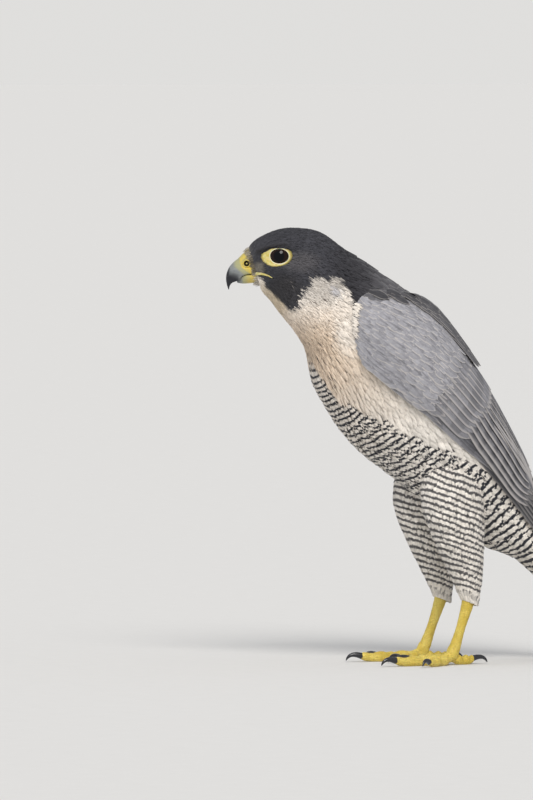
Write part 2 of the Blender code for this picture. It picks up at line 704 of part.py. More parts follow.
def claw_path(start, way, length, radius):
    """A claw's centre line and radii: it arches forward and comes down to just above the floor."""
    share = np.linspace(0.0, 1.0, 5)
    line = start + way * (length * 0.78 * np.sin(share * 1.35) / math.sin(1.35))[:, None]
    drop = start[2] - FLOOR - CLAW_TIP_CLEARANCE
    line[:, 2] = start[2] + 2.0 * np.sin(share * math.pi) - drop * share**1.6
    return line, radius * 0.56 * (1 - share) ** 0.7 + 0.35


def shank(name, side, grow, finish, collection):
    """The bare leg between thigh and foot, or that shape grown and run on by the gap, to cut with."""
    line = through(np.array(SHANK_LINE) * (1, side, 1), np.linspace(0, 3, 7))
    radii = through([[radius] for radius in SHANK_RADII], np.linspace(0, 3, 7))[:, 0] + grow
    first, last = line[0] - line[1], line[-1] - line[-2]
    line[0] += first / np.linalg.norm(first) * grow
    line[-1] += last / np.linalg.norm(last) * grow
    return tube(name, line, radii, finish, collection, 12)


def build_foot(side, word, parts, finishes):
    bare = finishes["bare"]
    joint = np.array(TOE_JOINT) * (1, side, 1)
    top = np.array(SHANK_LINE[-1]) * (1, side, 1)
    foot = tube(word + "_foot", [top, (top + joint) / 2, joint], (4.2, 4.6, 4.2), bare, parts, 12)
    toes = []
    for toe, heading, length, radius, claw_length in TOES:
        path, radii, way = toe_path(side, heading, length, radius)
        toes.append(tube("toe", path, radii, bare, parts, TOE_POINTS))
        start = path[-1] + way * (GAP + 0.2)
        line, claw_radii = claw_path(start, way, claw_length, radius)
        tube(f"{word}_{toe}_claw", line, claw_radii, finishes["claw"], parts, 7)
    combined(foot, toes, "UNION", parts)
    corners = np.array([(60, 90, 0), (60, -90, 0), (-60, -90, 0), (-60, 90, 0)], float)
    corners += (joint[0], joint[1], FLOOR)
    below = lofted("floor", [corners, corners - (0, 0, 20)], bare, parts)
    above = shank("shank_cutter", side, GAP, bare, parts)
    combined(foot, [below, above], "DIFFERENCE", parts)


def build_legs(parts, finishes):
    pale, bare = finishes["pale"], finishes["bare"]
    for side, word in SIDES:
        thigh = lofted(word + "_thigh", thigh_rings(side, 0.0), pale, parts)
        cutters = [
            lofted("body_cutter", body_rings(TORSO_STARTS, BODY_ENDS, GAP), pale, parts),
            shank("shank_cutter", side, GAP, bare, parts),
        ]
        combined(thigh, cutters, "DIFFERENCE", parts)
        shank(word + "_shank", side, 0.0, bare, parts)
        build_foot(side, word, parts, finishes)


def clear_scene():
    for old in list(bpy.data.objects):
        bpy.data.objects.remove(old)


def shade_round(collection):
    """Smooth shading on every node, with its real edges kept sharp."""
    for made in collection.objects:
        made.data.shade_smooth()
        made.data.set_sharp_from_angle(angle=SHARP_ANGLE)


def main():
    clear_scene()
    parts = bpy.data.collections.new("peregrine_falcon")
    bpy.context.scene.collection.children.link(parts)
    finishes = build_finishes()
    build_head(parts, finishes)
    build_bill(parts, finishes)
    build_eyes(parts, finishes)
    build_body(parts, finishes)
    build_legs(parts, finishes)
    build_tail(parts, finishes)
    build_wings(parts, finishes)
    shade_round(parts)


main()
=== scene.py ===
"""A peregrine falcon in full plumage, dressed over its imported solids.

Every form is laid out in the solids' own plan frame: millimetres, (forward, left, up), zero between
the eyes before the head is turned. place() carries a plan point to the scene in metres.
"""

import math

import bpy
import numpy as np
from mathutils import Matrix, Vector, noise
from mathutils.bvhtree import BVHTree

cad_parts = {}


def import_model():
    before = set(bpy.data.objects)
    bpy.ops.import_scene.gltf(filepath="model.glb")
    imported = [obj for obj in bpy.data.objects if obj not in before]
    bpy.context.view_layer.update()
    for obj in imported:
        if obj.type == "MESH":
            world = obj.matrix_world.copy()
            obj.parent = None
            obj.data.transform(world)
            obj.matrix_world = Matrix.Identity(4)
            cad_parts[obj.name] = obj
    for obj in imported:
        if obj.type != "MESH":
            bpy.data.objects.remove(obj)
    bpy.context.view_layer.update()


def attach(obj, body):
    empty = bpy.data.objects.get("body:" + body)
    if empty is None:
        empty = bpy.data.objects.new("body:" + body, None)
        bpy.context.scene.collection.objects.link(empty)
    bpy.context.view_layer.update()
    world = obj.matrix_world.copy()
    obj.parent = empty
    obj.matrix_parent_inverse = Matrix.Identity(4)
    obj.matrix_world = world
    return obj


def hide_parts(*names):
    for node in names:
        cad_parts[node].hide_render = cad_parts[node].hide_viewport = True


MM = 0.001
SIDES = ((1, "left"), (-1, "right"))
UP = np.array((0.0, 0.0, 1.0))
RANDOM = np.random.default_rng(7)

# Stance
EYE_HEIGHT = 296.0
FLOOR = -EYE_HEIGHT
PLAN_MIDDLE_FORWARD = -110.9
HEAD_TURN = math.radians(-22.0)
TURN_PIVOT_FORWARD = -45.0

# The body from the forehead to the tail coverts: a point on the back line and one on the throat and
# belly line, both (forward, up), the half width, how much narrower it is on top and its share of
# the head's turn.
BODY_SECTIONS = (
    ((25.0, 4.0), (15.5, -19.8), 8.9, 0.05, 1.0),
    ((17.5, 11.8), (13.6, -25.5), 13.4, 0.02, 1.0),
    ((2.0, 18.8), (7.0, -33.0), 19.0, 0.0, 1.0),
    ((-14.0, 19.8), (0.0, -42.5), 22.4, 0.02, 1.0),
    ((-31.0, 16.4), (-9.5, -54.0), 27.0, 0.04, 0.85),
    ((-51.0, 5.5), (-19.5, -70.0), 35.5, 0.06, 0.50),
    ((-74.0, -9.5), (-31.0, -90.0), 44.5, 0.02, 0.15),
    ((-100.0, -30.5), (-46.0, -113.0), 48.5, 0.0, 0.0),
    ((-128.0, -61.0), (-67.0, -139.0), 48.5, 0.0, 0.0),
    ((-153.0, -96.0), (-92.0, -164.0), 44.0, 0.0, 0.0),
    ((-176.0, -134.0), (-122.0, -190.0), 36.0, 0.0, 0.0),
    ((-196.0, -170.0), (-153.0, -211.0), 25.0, 0.0, 0.0),
    ((-205.7, -197.7), (-178.9, -220.2), 20.0, 0.0, 0.0),
    ((-212.9, -225.6), (-200.1, -236.3), 17.0, 0.0, 0.0),
    ((-222.1, -243.0), (-216.8, -247.5), 10.0, 0.0, 0.0),
)
BODY_ENDS = 14.0
# The distance from vane to vane in the coat's pieces: place along the body, millimetres.
HEAD_SPACING = ((0.0, 0.72), (1.0, 0.82), (3.0, 1.02), (4.0, 1.2))
NECK_SPACING = ((3.0, 1.15), (4.4, 1.5), (5.8, 2.2))
BREAST_SPACING = ((5.0, 2.5), (6.0, 3.0), (9.0, 3.7), (14.0, 3.8))
MANTLE_SPACING = ((4.6, 4.0), (5.5, 5.6), (8.0, 7.6), (12.0, 7.0), (14.0, 6.4))
UNDER_TAIL_SPACING = ((9.0, 4.6), (14.0, 5.4))
# The strips of the skin's map that body and thighs take: where each starts, and its width.
BODY_STRIP = (0.01, 0.76)
THIGH_STRIPS = {1: (0.80, 0.09), -1: (0.90, 0.09)}
# How deep the coat is at those sections.
COAT_DEPTHS = (0.6, 0.9, 1.2, 1.6, 2.4, 3.4, 4.0, 4.2, 4.4, 4.4, 4.2, 3.8, 3.2, 2.6, 1.8)
THIGH_SECTIONS = (
    (-126, 20, -140, 10, 12), (-121, 24, -163, 16.5, 23), (-120, 26.5, -188, 18, 25),
    (-124, 27, -211, 15, 20), (-129.5, 26, -232, 11, 13.5), (-132.5, 25.5, -246, 7.5, 8.5),
)
THIGH_COAT_DEPTH = 3.0
THIGH_SHOWS_TO = 5.35
# From one dark bar to the next, down the breast and down the thighs.
BAR_PERIOD = 4.2
THIGH_BAR_PERIOD = 4.6

# The torso's own axes (along, left, out), in which wings and tail are laid out.
SHOULDER = (-61.0, -58.0)
BODY_PITCH = math.radians(50.0)

# Bill: ridge point, point between the lips, half width, hollow of the floor.
UPPER_BILL_SECTIONS = (
    ((22.4, 5.6), (15.2, -12.2), 8.6, 0.02),
    ((25.4, 3.4), (18.6, -12.9), 8.8, 0.04),
    ((28.2, 0.6), (22.6, -13.2), 8.5, 0.06),
    ((31.0, -2.2), (25.8, -13.9), 7.7, 0.08),
    ((34.6, -5.2), (28.2, -15.2), 6.6, 0.08),
    ((37.2, -8.4), (30.0, -17.8), 5.6, 0.14),
    ((39.0, -12.6), (32.4, -18.6), 4.3, 0.12),
    ((39.5, -17.0), (35.2, -19.8), 2.8, 0.05),
    ((38.9, -21.0), (36.8, -22.0), 1.5, 0.0),
    ((37.8, -24.4), (37.3, -24.5), 0.45, 0.0),
)
LOWER_BILL_SECTIONS = (
    ((12.3, -19.0), (14.7, -13.0), 8.0, -0.12),
    ((16.3, -19.4), (18.7, -13.3), 7.6, -0.12),
    ((21.6, -19.9), (22.8, -13.7), 7.0, -0.12),
    ((26.2, -20.2), (26.3, -14.0), 5.6, -0.12),
    ((29.4, -20.0), (28.9, -14.9), 3.8, -0.12),
    ((31.6, -19.4), (31.2, -17.2), 1.6, 0.0),
)
LIP_ANGLE = math.radians(125.0)
# Where the cere ends: up, forward.
CERE_BORDER = ((-14.0, 21.0), (-11.0, 24.6), (-8.3, 28.4), (-5.0, 29.6), (-2.0, 29.8), (2.0, 29.0))
NOSTRIL = (24.6, 7.6, -5.6)
NOSTRIL_RIM = 3.4
# Rim and hole of a nostril, and the peg in it: out from the cere, radius, yellow, painted shade.
NOSTRIL_PARTS = {
    "nostril": (
        (-2.6, 1.1, 0.9, 0.97), (-1.6, 1.6, 0.9, 0.95), (-0.5, 1.9, 1.0, 0.88),
        (0.10, 2.05, 1.0, 0.50), (0.50, 2.25, 1.0, 0.0), (0.60, 2.5, 1.0, 0.0),
        (0.42, 2.8, 1.0, 0.0), (0.0, 3.1, 1.0, 0.0), (-0.6, 3.4, 1.0, 0.0), (-3.2, 3.0, 1.0, 0.0),
    ),
    "nostril_peg": (
        (-2.6, 0.80, 0.9, 0.6), (-0.4, 0.72, 0.9, 0.45), (0.05, 0.50, 0.9, 0.1), (0.2, 0.15, 0.9, 0.0),
    ),
}
NOSTRIL_SIDES = 32

# Eyes
EYE_CENTRE = (0.0, 11.5, 0.0)
EYE_RADIUS = 9.0
EYE_LOOKS_FORWARD = math.radians(9.0)
LID_OPENING = (6.75, 5.3)
EYE_SIDES = 96
# Width of the bare ring round the eye, every 30 degrees from the bill side over the top.
RING_WIDTHS = (7.3, 4.7, 1.3, 0.6, 0.95, 1.6, 2.1, 1.7, 1.5, 1.8, 3.0, 5.3)
GAPE = ((17.9, -13.1), (14.0, -13.0), (9.5, -14.1), (6.0, -15.8))

# Wings: rows of (along, left, out) points for the folded left wing's upper edge, middle, lower edge.
WING_UPPER = (
    (-14, 33, 33), (0, 30, 42), (25, 22, 49.5), (75, 12, 50.5),
    (125, 6, 44), (187, 4, 31), (290, 3.5, 9.5),
)
WING_MIDDLE = (
    (-36, 45, 2), (-14, 54, 9), (25, 57, 19), (75, 53, 24),
    (125, 44, 25), (187, 27, 22), (290, 9, 10.5),
)
WING_LOWER = (
    (-4, 43, -29), (8, 50, -28), (35, 55, -21), (80, 53, -12),
    (128, 45, -3), (188, 32, 6), (290, 15, 9),
)
CORE_SECTIONS = (
    # station, sink, thickness, edge
    (0.0, 3.0, 8.0, 0.22), (0.12, 1.6, 13.0, 0.10), (0.4, 1.2, 16.0, 0.04), (1.0, 1.2, 16.0, 0.0),
    (1.6, 1.2, 16.0, 0.0), (2.2, 1.4, 15.0, 0.0), (2.8, 1.8, 13.0, 0.0), (3.2, 2.2, 12.0, 0.0),
    (3.6, 2.6, 10.0, 0.0), (4.1, 2.9, 8.0, 0.0), (4.6, 3.1, 5.0, 0.02), (4.95, 3.5, 3.0, 0.06),
    (5.25, 3.8, 1.6, 0.12),
)
LOWER_EDGE_DROP = 4.5
TIER_DROP = 0.85
# Tiers of flight feathers: name, count, tier, root and tip (station, share across) and width at
# the upper and at the lower end of the row.
TIERS = (
    ("primary", 9, 3, (3.3, 0.42), (5.13, 0.20), 17.0, (3.0, 0.93), (5.96, 0.90), 13.0),
    ("secondary", 9, 2, (2.6, 0.10), (4.45, 0.10), 26.0, (2.8, 0.72), (4.85, 0.76), 22.0),
    ("primary_covert", 6, 2, (2.4, 0.84), (3.80, 0.83), 10.0, (1.8, 0.98), (4.05, 0.97), 8.0),
    ("greater_covert", 11, 1, (1.9, 0.12), (3.30, 0.10), 19.0, (2.0, 0.84), (3.45, 0.86), 16.0),
    ("alula", 3, 1, (1.3, 0.90), (2.75, 0.91), 9.0, (1.0, 0.99), (2.90, 0.99), 8.0),
    ("median_covert", 13, 0.5, (1.5, 0.08), (2.75, 0.07), 15.0, (1.5, 0.90), (2.85, 0.91), 13.0),
)

POINTED_TIERS = ("primary", "alula", "primary_covert")
# How tiers look: share of the coverts' grey, bars, pale edge, bars from root to tip.
TIER_LOOKS = {"primary": (0.0, 0.10, 0.30, 11.0), "secondary": (0.30, 0.35, 0.75, 8.0)}
COVERT_LOOK = (0.6, 0.30, 0.65, 3.0)

# Tail: from the middle outwards, each feather under the one before it.
TAIL_FEATHERS = 6
TAIL_ROOT = (176.0, 2.6, 3.5)
TAIL_TIP = (301.0, 6.5, 0.0)
TAIL_ROOT_STEP = (0.0, 1.7, -0.7)
TAIL_TIP_STEP = (-1.4, 2.6, -0.7)
RIGHT_TAIL_SINK = 0.35
TAIL_WIDTH = 20.0

# Legs
SHANK_LINE = ((-133, 25.5, -246.3), (-132, 25.6, -252), (-126, 26.4, -270), (-120.5, 27.3, -285.5))
SHANK_RADII = (5.2, 4.4, 3.3, 4.2)
KNUCKLE_RADII = (4.0, 4.7, 4.2)
TOE_JOINT = (-118.0, 27.6, FLOOR + 6.0)
# Name, heading in degrees, length, radius and length of the claw.
TOES = (
    ("middle", 6.0, 46.0, 3.7, 14.5), ("inner", -34.0, 31.0, 3.6, 16.0),
    ("outer", 40.0, 35.0, 3.2, 12.5), ("hind", 190.0, 19.0, 3.5, 16.0),
)
TOE_BUMPS = (1.15, 0.90, 1.10, 0.86, 1.05, 0.84, 0.88)
TOE_END_LIFT = 1.2
FLAT_DEPTH = 0.35
CLAW_TIP_CLEARANCE = 1.0
CLAW_SINK = 1.1

# The camera: where it stands, the size of a picture point at the eye and the eye's place in the
# picture, which is 533 by 800 points.
CAMERA_AZIMUTH = math.radians(68.0)
CAMERA_ELEVATION = math.radians(2.0)
CAMERA_DISTANCE = 8.0
POINT_MM = 0.72
PICTURE = (533, 800)
EYE_IN_PICTURE = (278.8, 256.2)
SENSOR = 36.0

# The ridge over the eye, in picture points, and how far it stands out; a painted shadow follows its
# line.
BROW = ((257.5, 252.0), (265.0, 248.8), (274.0, 246.8), (284.0, 245.2), (292.0, 247.0))
BROW_HEIGHT = 2.2
BROW_WIDTH = 2.6
# The barred feathers of the belly, which stand out past the breast: how far, and where they start,
# are fullest and end along the body.
BELLY_HEIGHT = 9.6
BELLY_PLACES = (4.7, 5.9, 7.2, 9.6)
# The hollow of the nape: how deep, and where it starts, is fullest and ends.
NAPE_HOLLOW = 3.6
NAPE_PLACES = (3.6, 5.0, 5.9, 7.3)
# Where the barred belly meets the plain breast: points in the picture, from above down.
BARRED_FROM = ((352.0, 304.0), (380.0, 321.0), (402.0, 337.0), (430.0, 398.0), (520.0, 600.0))

STREAK_STRENGTH = 0.12

# Bristles round the bill's base: how many a side, places and angles on the body, colour, length.
BRISTLES = (
    (100, (0.05, 0.34), (0.0, 1.1), (0.46, 0.41, 0.32), 3.4),
    (120, (0.05, 0.45), (1.0, 1.9), (0.20, 0.17, 0.12), 3.0),
    (60, (0.0, 0.20), (1.7, 2.1), (0.55, 0.49, 0.38), 2.8),
    (150, (0.0, 0.40), (2.15, 3.14), (0.72, 0.66, 0.57), 4.0),
)

# Markings on the side of the head, as outlines in picture points.
HOOD = (
    (200, 200), (440, 200), (440, 350), (372, 330), (356, 316), (351, 304), (350, 290), (344, 286),
    (341, 279), (331, 277), (328, 281), (321, 277.5), (312, 280), (309, 286), (305.5, 292),
    (300, 299), (298.5, 307), (290.5, 311.5), (283, 304), (275, 295.5), (266, 287.5),
    (261.5, 280), (258, 276), (236, 268),
)
# Soft spots there: middle across and down, half width, half height.
PALE_SPOT = (289.5, 281.5, 2.0, 2.0)
CHEEK_SPOT = (300, 262, 26, 15)
MOUSTACHE_SPOT = (284, 290, 26, 24)
LORE_SPOT = (259, 268, 7, 9)
THROAT_SHADE_SPOT = (272, 300, 26, 30)
SHADED_SPOT = (322, 286, 30, 26)
SMUDGE_SPOT = (336, 292, 8, 7)
WHITE_SPOT = (349, 332, 22, 34)
BUFF_SPOT = (312, 352, 26, 34)
STREAKED_SPOTS = ((310, 352, 36, 58), (322, 300, 32, 20))
# Stretches over which a marking or a painted shadow comes in or goes, across or down.
NAPE_ACROSS = (320, 356)
BROW_SHADOW_FADES_ACROSS = (280, 292)
MOUSTACHE_DOWN = (262, 276)
BUFF_DOWN = (292, 345)
BARS_DOWN = (350, 354)

# Colours, linear
SLATE = (0.044, 0.044, 0.052)
CHEEK = (0.084, 0.080, 0.086)
MOUSTACHE = (0.038, 0.036, 0.039)
NAPE = (0.030, 0.029, 0.034)
MANTLE = (0.100, 0.097, 0.105)
COVERT = (0.345, 0.340, 0.365)
RUMP = (0.230, 0.245, 0.280)
BUFF = (0.730, 0.575, 0.430)
CREAM = (0.840, 0.770, 0.690)
BELLY = (0.780, 0.730, 0.665)
LORES = (0.260, 0.235, 0.190)
QUILL = (0.085, 0.084, 0.092)
SHAFT = (0.085, 0.065, 0.055)
GREY_SMUDGE = (0.36, 0.37, 0.42)
DARK_BAR = (0.028, 0.029, 0.036, 1.0)
PALE_EDGE = (0.62, 0.58, 0.55, 1.0)
YELLOW_SKIN = ((0.60, 0.49, 0.115, 1.0), (0.70, 0.61, 0.27, 1.0))
LID_RIM = (0.80, 0.76, 0.52, 1.0)
# Painted shade of the eye ring, towards its outer edge and underneath.
RING_FOOT_SHADE = (0.30, 0.25, 0.075, 1.0)
PORE = (0.42, 0.33, 0.08, 1.0)
CERE_YELLOWS = ((0.66, 0.49, 0.075, 1.0), (0.50, 0.43, 0.13, 1.0))
HORN_GREENS = ((0.42, 0.40, 0.19, 1.0), (0.33, 0.33, 0.19, 1.0))
HORN_GREYS = ((0.15, 0.165, 0.18, 1.0), (0.31, 0.32, 0.30, 1.0))
BILL_TIP = (0.014, 0.014, 0.018, 1.0)
IRIS = ((0.006, 0.0025, 0.0015, 1.0), (0.018, 0.007, 0.004, 1.0))
PUPIL = (0.0015, 0.0015, 0.002, 1.0)
SCALE_YELLOWS = ((0.62, 0.45, 0.055, 1.0), (0.80, 0.64, 0.15, 1.0))
SCALE_GAP = (0.47, 0.345, 0.06, 1.0)
CLAW_BLACKS = ((0.010, 0.010, 0.012, 1.0), (0.030, 0.030, 0.034, 1.0))
FLOOR_TONES = ((0.745, 0.735, 0.715, 1.0), (0.775, 0.765, 0.745, 1.0))

# Lights: degrees round from the camera, degrees up, spread in degrees, power, colour.
KEY_LIGHT = (8.0, 40.0, 28.0, 2.05, (1.0, 0.975, 0.94))
FILL_LIGHT = (-55.0, 25.0, 60.0, 0.5, (0.95, 0.97, 1.0))
FLOOR_HALF = 60000.0
SURROUND_SEEN = (0.742, 0.735, 0.721, 1.0)
SURROUND_GLOW = (0.50, 0.51, 0.53, 1.0)


def smooth(low, high, value):
    """0 below low, 1 above high and an even slope between."""
    share = np.clip((np.asarray(value, float) - low) / (high - low), 0.0, 1.0)
    return share * share * (3.0 - 2.0 * share)


def blend(a, b, share):
    """Colours a and b mixed, point by point."""
    share = np.asarray(share, float)[..., None]
    return np.asarray(a, float) * (1.0 - share) + np.asarray(b, float) * share


def unit(vectors):
    """Directions with a length of one."""
    return vectors / np.maximum(np.linalg.norm(vectors, axis=-1, keepdims=True), 1e-9)


def through(rows, at):
    """Rows of numbers read as a smooth curve: row 0 at 0, row 1 at 1, and so on."""
    rows = np.asarray(rows, float)
    at = np.asarray(at, float)
    step = np.clip(at.astype(int), 0, len(rows) - 2)
    share = (at - step)[..., None]
    slopes = np.gradient(rows, axis=0)
    a, b, u, v = rows[step], rows[step + 1], slopes[step], slopes[step + 1]
    return (
        a * (2 * share**3 - 3 * share**2 + 1)
        + u * (share**3 - 2 * share**2 + share)
        + b * (3 * share**2 - 2 * share**3)
        + v * (share**3 - share**2)
    )


def curve(values, at):
    """Single numbers read as a smooth curve."""
    return through(np.array(values, float)[:, None], at)[..., 0]


def lengths(points):
    """How far along a line of points each one lies."""
    return np.concatenate([[0], np.cumsum(np.linalg.norm(np.diff(points, axis=0), axis=1))])


def circle(count):
    """Angles evenly round a circle."""
    return np.arange(count) / count * 2 * math.pi


def wheel(angle, a, b):
    """Directions at angles from a towards b."""
    return np.cos(angle)[:, None] * a + np.sin(angle)[:, None] * b


def sided(points, side):
    """Points of the left side for side 1, mirrored to the right for side -1."""
    return np.asarray(points, float) * (1, side, 1)


def turned(points, share=1.0):
    """Plan points carried round by this share of the head's turn."""
    points = np.array(points, float)
    angle = HEAD_TURN * np.asarray(share, float)
    forward = points[..., 0] - TURN_PIVOT_FORWARD
    left = points[..., 1].copy()
    points[..., 0] = TURN_PIVOT_FORWARD + forward * np.cos(angle) - left * np.sin(angle)
    points[..., 1] = forward * np.sin(angle) + left * np.cos(angle)
    return points


def turned_way(way):
    """A direction of the head's own axes as one of the plan's."""
    return turned(np.array(way, float)) - turned(np.zeros(3))


def head_left(side):
    """A step to the head's own left for side 1, to its right for side -1, in plan axes."""
    return turned_way((0.0, side, 0.0))


def place(points):
    """Plan points, in millimetres, as scene points in metres."""
    points = np.asarray(points, float)
    y = PLAN_MIDDLE_FORWARD - points[..., 0]
    return np.stack([points[..., 1], y, points[..., 2] + EYE_HEIGHT], axis=-1) * MM


def from_torso(points):
    """(along, left, out) points of the torso's axes as plan points."""
    points = np.asarray(points, float)
    along, left, out = points[..., 0], points[..., 1], points[..., 2]
    forward = SHOULDER[0] - along * math.cos(BODY_PITCH) - out * math.sin(BODY_PITCH)
    up = SHOULDER[1] - along * math.sin(BODY_PITCH) + out * math.cos(BODY_PITCH)
    return np.stack([forward, left, up], axis=-1)


def on_side(torso_points, side):
    """Torso points of the left side as plan points of either side."""
    return from_torso(sided(torso_points, side))


def noise_at(points, size, seed=0.0):
    """Smooth noise from -1 to 1 at plan points, with features about this many millimetres wide."""
    flat = np.asarray(points, float).reshape(-1, 3) / size + seed
    values = [noise.noise(Vector(p)) for p in flat]
    return np.array(values).reshape(np.asarray(points).shape[:-1])


BODY_ROWS = np.array(
    [(*back, *belly, wide, egg, turn) for back, belly, wide, egg, turn in BODY_SECTIONS], float
)


def body_point(at, angle, grow=0.0):
    """Plan points on the body: place along the sections, angle from the back over the left side."""
    at, angle, grow = np.broadcast_arrays(*(np.asarray(v, float) for v in (at, angle, grow)))
    row = through(BODY_ROWS, at)
    back, belly, wide, egg, turn = row[..., :2], row[..., 2:4], row[..., 4], row[..., 5], row[..., 6]
    half = (back - belly) / 2
    line = (back + belly) / 2 + np.cos(angle)[..., None] * (half + unit(half) * grow[..., None])
    across = np.sin(angle) * (wide + grow) * (1 - egg * np.cos(angle))
    return turned(np.stack([line[..., 0], across, line[..., 1]], axis=-1), turn)


def folded(angle):
    """The same angle on the left side, from 0 at the back to pi at the belly."""
    return np.abs((np.asarray(angle, float) + math.pi) % (2 * math.pi) - math.pi)


def brow_swell(at, angle):
    """How far the ridge over each eye raises the skin and its coat."""
    at, angle = np.broadcast_arrays(np.asarray(at, float), np.asarray(angle, float))
    x, y = side_view(body_point(at, folded(angle)))
    near = path_distance(BROW, x, y)
    return BROW_HEIGHT * np.exp(-((near / BROW_WIDTH) ** 2)) * (at < 3.5)


def swell(at, angle):
    """How far the coat's base stands out from the body's plain form."""
    start, full, fade, end = BELLY_PLACES
    off = math.pi - folded(angle)
    belly = np.exp(-((off / 0.62) ** 2)) * smooth(start, full, at) * (1 - smooth(fade, end, at))
    start, full, fade, end = NAPE_PLACES
    nape = np.exp(-((folded(angle) / 0.9) ** 2)) * smooth(start, full, at) * (1 - smooth(fade, end, at))
    return brow_swell(at, angle) + BELLY_HEIGHT * belly - NAPE_HOLLOW * nape


def path_distance(line, x, y):
    """Distance in picture points to a line through these points."""
    nearest = np.full(np.shape(x), 1e9)
    for (ax, ay), (bx, by) in zip(line, line[1:]):
        dx, dy = bx - ax, by - ay
        share = np.clip(((x - ax) * dx + (y - ay) * dy) / (dx * dx + dy * dy), 0.0, 1.0)
        nearest = np.minimum(nearest, np.hypot(x - ax - share * dx, y - ay - share * dy))
    return nearest


def body_frame(at, angle, grow=0.0):
    """Body points with the way the coat lies there and the outward direction."""
    step = 0.01
    along = body_point(at + step, angle, grow) - body_point(at - step, angle, grow)
    around = body_point(at, angle + step, grow) - body_point(at, angle - step, grow)
    return body_point(at, angle, grow), along / (2 * step), unit(np.cross(around, along))


def coat_depth(at):
    """How deep the coat is at places along the body."""
    return curve(COAT_DEPTHS, at)


def thigh_point(at, angle, side, grow=0.0):
    """Plan points on a thigh: place along its sections, angle from the front outwards."""
    at, angle, grow = np.broadcast_arrays(*(np.asarray(v, float) for v in (at, angle, grow)))
    row = through(THIGH_SECTIONS, at)
    ahead, across = np.array((0.94, 0.0, 0.34)), np.array((0.0, 1.0, 0.0))
    around = (np.cos(angle) * (row[..., 4] + grow))[..., None] * ahead
    around = around + (np.sin(angle) * (row[..., 3] + grow))[..., None] * across
    return sided(row[..., :3] + around, side)


def thigh_frame(at, angle, side, grow=0.0):
    """Thigh points with the way the coat lies there and the outward direction."""
    step = 0.02
    along = thigh_point(at + step, angle, side, grow) - thigh_point(at - step, angle, side, grow)
    around = thigh_point(at, angle + step, side, grow) - thigh_point(at, angle - step, side, grow)
    outward = unit(np.cross(along, around)) * side
    return thigh_point(at, angle, side, grow), along / (2 * step), outward


def eye_axes(side):
    """The eye's centre, the way it looks, and its forward and up directions, for side 1 or -1."""
    sine, cosine = math.sin(EYE_LOOKS_FORWARD), math.cos(EYE_LOOKS_FORWARD)
    look = turned_way((sine, side * cosine, 0.0))
    forward = turned_way((cosine, -side * sine, 0.0))
    return turned(sided(EYE_CENTRE, side)), look, forward, UP


def ring_radii(angle):
    """Inner and outer radius of the bare ring round the eye at an angle from the bill side up."""
    angle = np.asarray(angle, float) % (2 * math.pi)
    widths = (RING_WIDTHS[-1], *RING_WIDTHS, *RING_WIDTHS[:2])
    wide = curve(widths, angle / (2 * math.pi) * len(RING_WIDTHS) + 1)
    inner = 1 / np.hypot(np.cos(angle) / LID_OPENING[0], np.sin(angle) / LID_OPENING[1])
    return inner, inner + wide


def kept_bare(points, margin):
    """Which plan points lie over either eye, its bare ring or the gape."""
    inside = np.zeros(points.shape[:-1], bool)
    line = [turned(np.array((forward, 0.0, up))) for forward, up in GAPE]
    for side, _ in SIDES:
        centre, look, forward, up = eye_axes(side)
        offset = points - centre
        ahead, high = offset @ forward, offset @ up
        outer = ring_radii(np.arctan2(high, ahead))[1]
        inside |= (np.hypot(ahead, high) < outer + margin) & (offset @ look > 0)
        left = head_left(side)
        for start, end in zip(line, line[1:]):
            way = end - start
            share = np.clip((points - start) @ way / (way @ way), 0.0, 1.0)
            off = points - start - share[..., None] * way
            off = off - (off @ left)[..., None] * left
            near = np.linalg.norm(off, axis=-1) < 0.75 + margin
            inside |= near & ((points - start) @ left > 0)
    return inside


def way_to(azimuth, elevation):
    """The scene direction this far round from the front and this high, in radians."""
    flat = math.cos(elevation)
    return np.array((math.sin(azimuth) * flat, -math.cos(azimuth) * flat, math.sin(elevation)))


def camera_axes():
    """The camera's backward, right and up directions in scene axes."""
    back = way_to(CAMERA_AZIMUTH, CAMERA_ELEVATION)
    right = np.array((math.cos(CAMERA_AZIMUTH), math.sin(CAMERA_AZIMUTH), 0.0))
    return back, right, np.cross(back, right)


def side_view(points):
    """Where plan points stand in a side view of the head, in picture points across and down."""
    _, right, up = camera_axes()
    centre, look, _, _ = eye_axes(1)
    offset = (place(points) - place(centre + look * EYE_RADIUS)) / (POINT_MM * MM)
    return EYE_IN_PICTURE[0] + offset @ right, EYE_IN_PICTURE[1] - offset @ up


def outline_distance(outline, x, y):
    """Distance in picture points to a closed outline, positive inside it."""
    x, y = np.asarray(x, float), np.asarray(y, float)
    closed = outline + outline[:1]
    nearest = path_distance(closed, x, y)
    inside = np.zeros(x.shape, bool)
    for (ax, ay), (bx, by) in zip(closed, closed[1:]):
        crosses = (ay > y) != (by > y)
        meets = ax + (y - ay) / ((by - ay) or 1e-9) * (bx - ax)
        inside ^= crosses & (x < meets)
    return np.where(inside, nearest, -nearest)


def spot(x, y, middle_x, middle_y, wide, high):
    """1 at the middle of a soft oval spot, 0 outside it."""
    return 1 - smooth(0.3, 1.0, np.hypot((x - middle_x) / wide, (y - middle_y) / high))


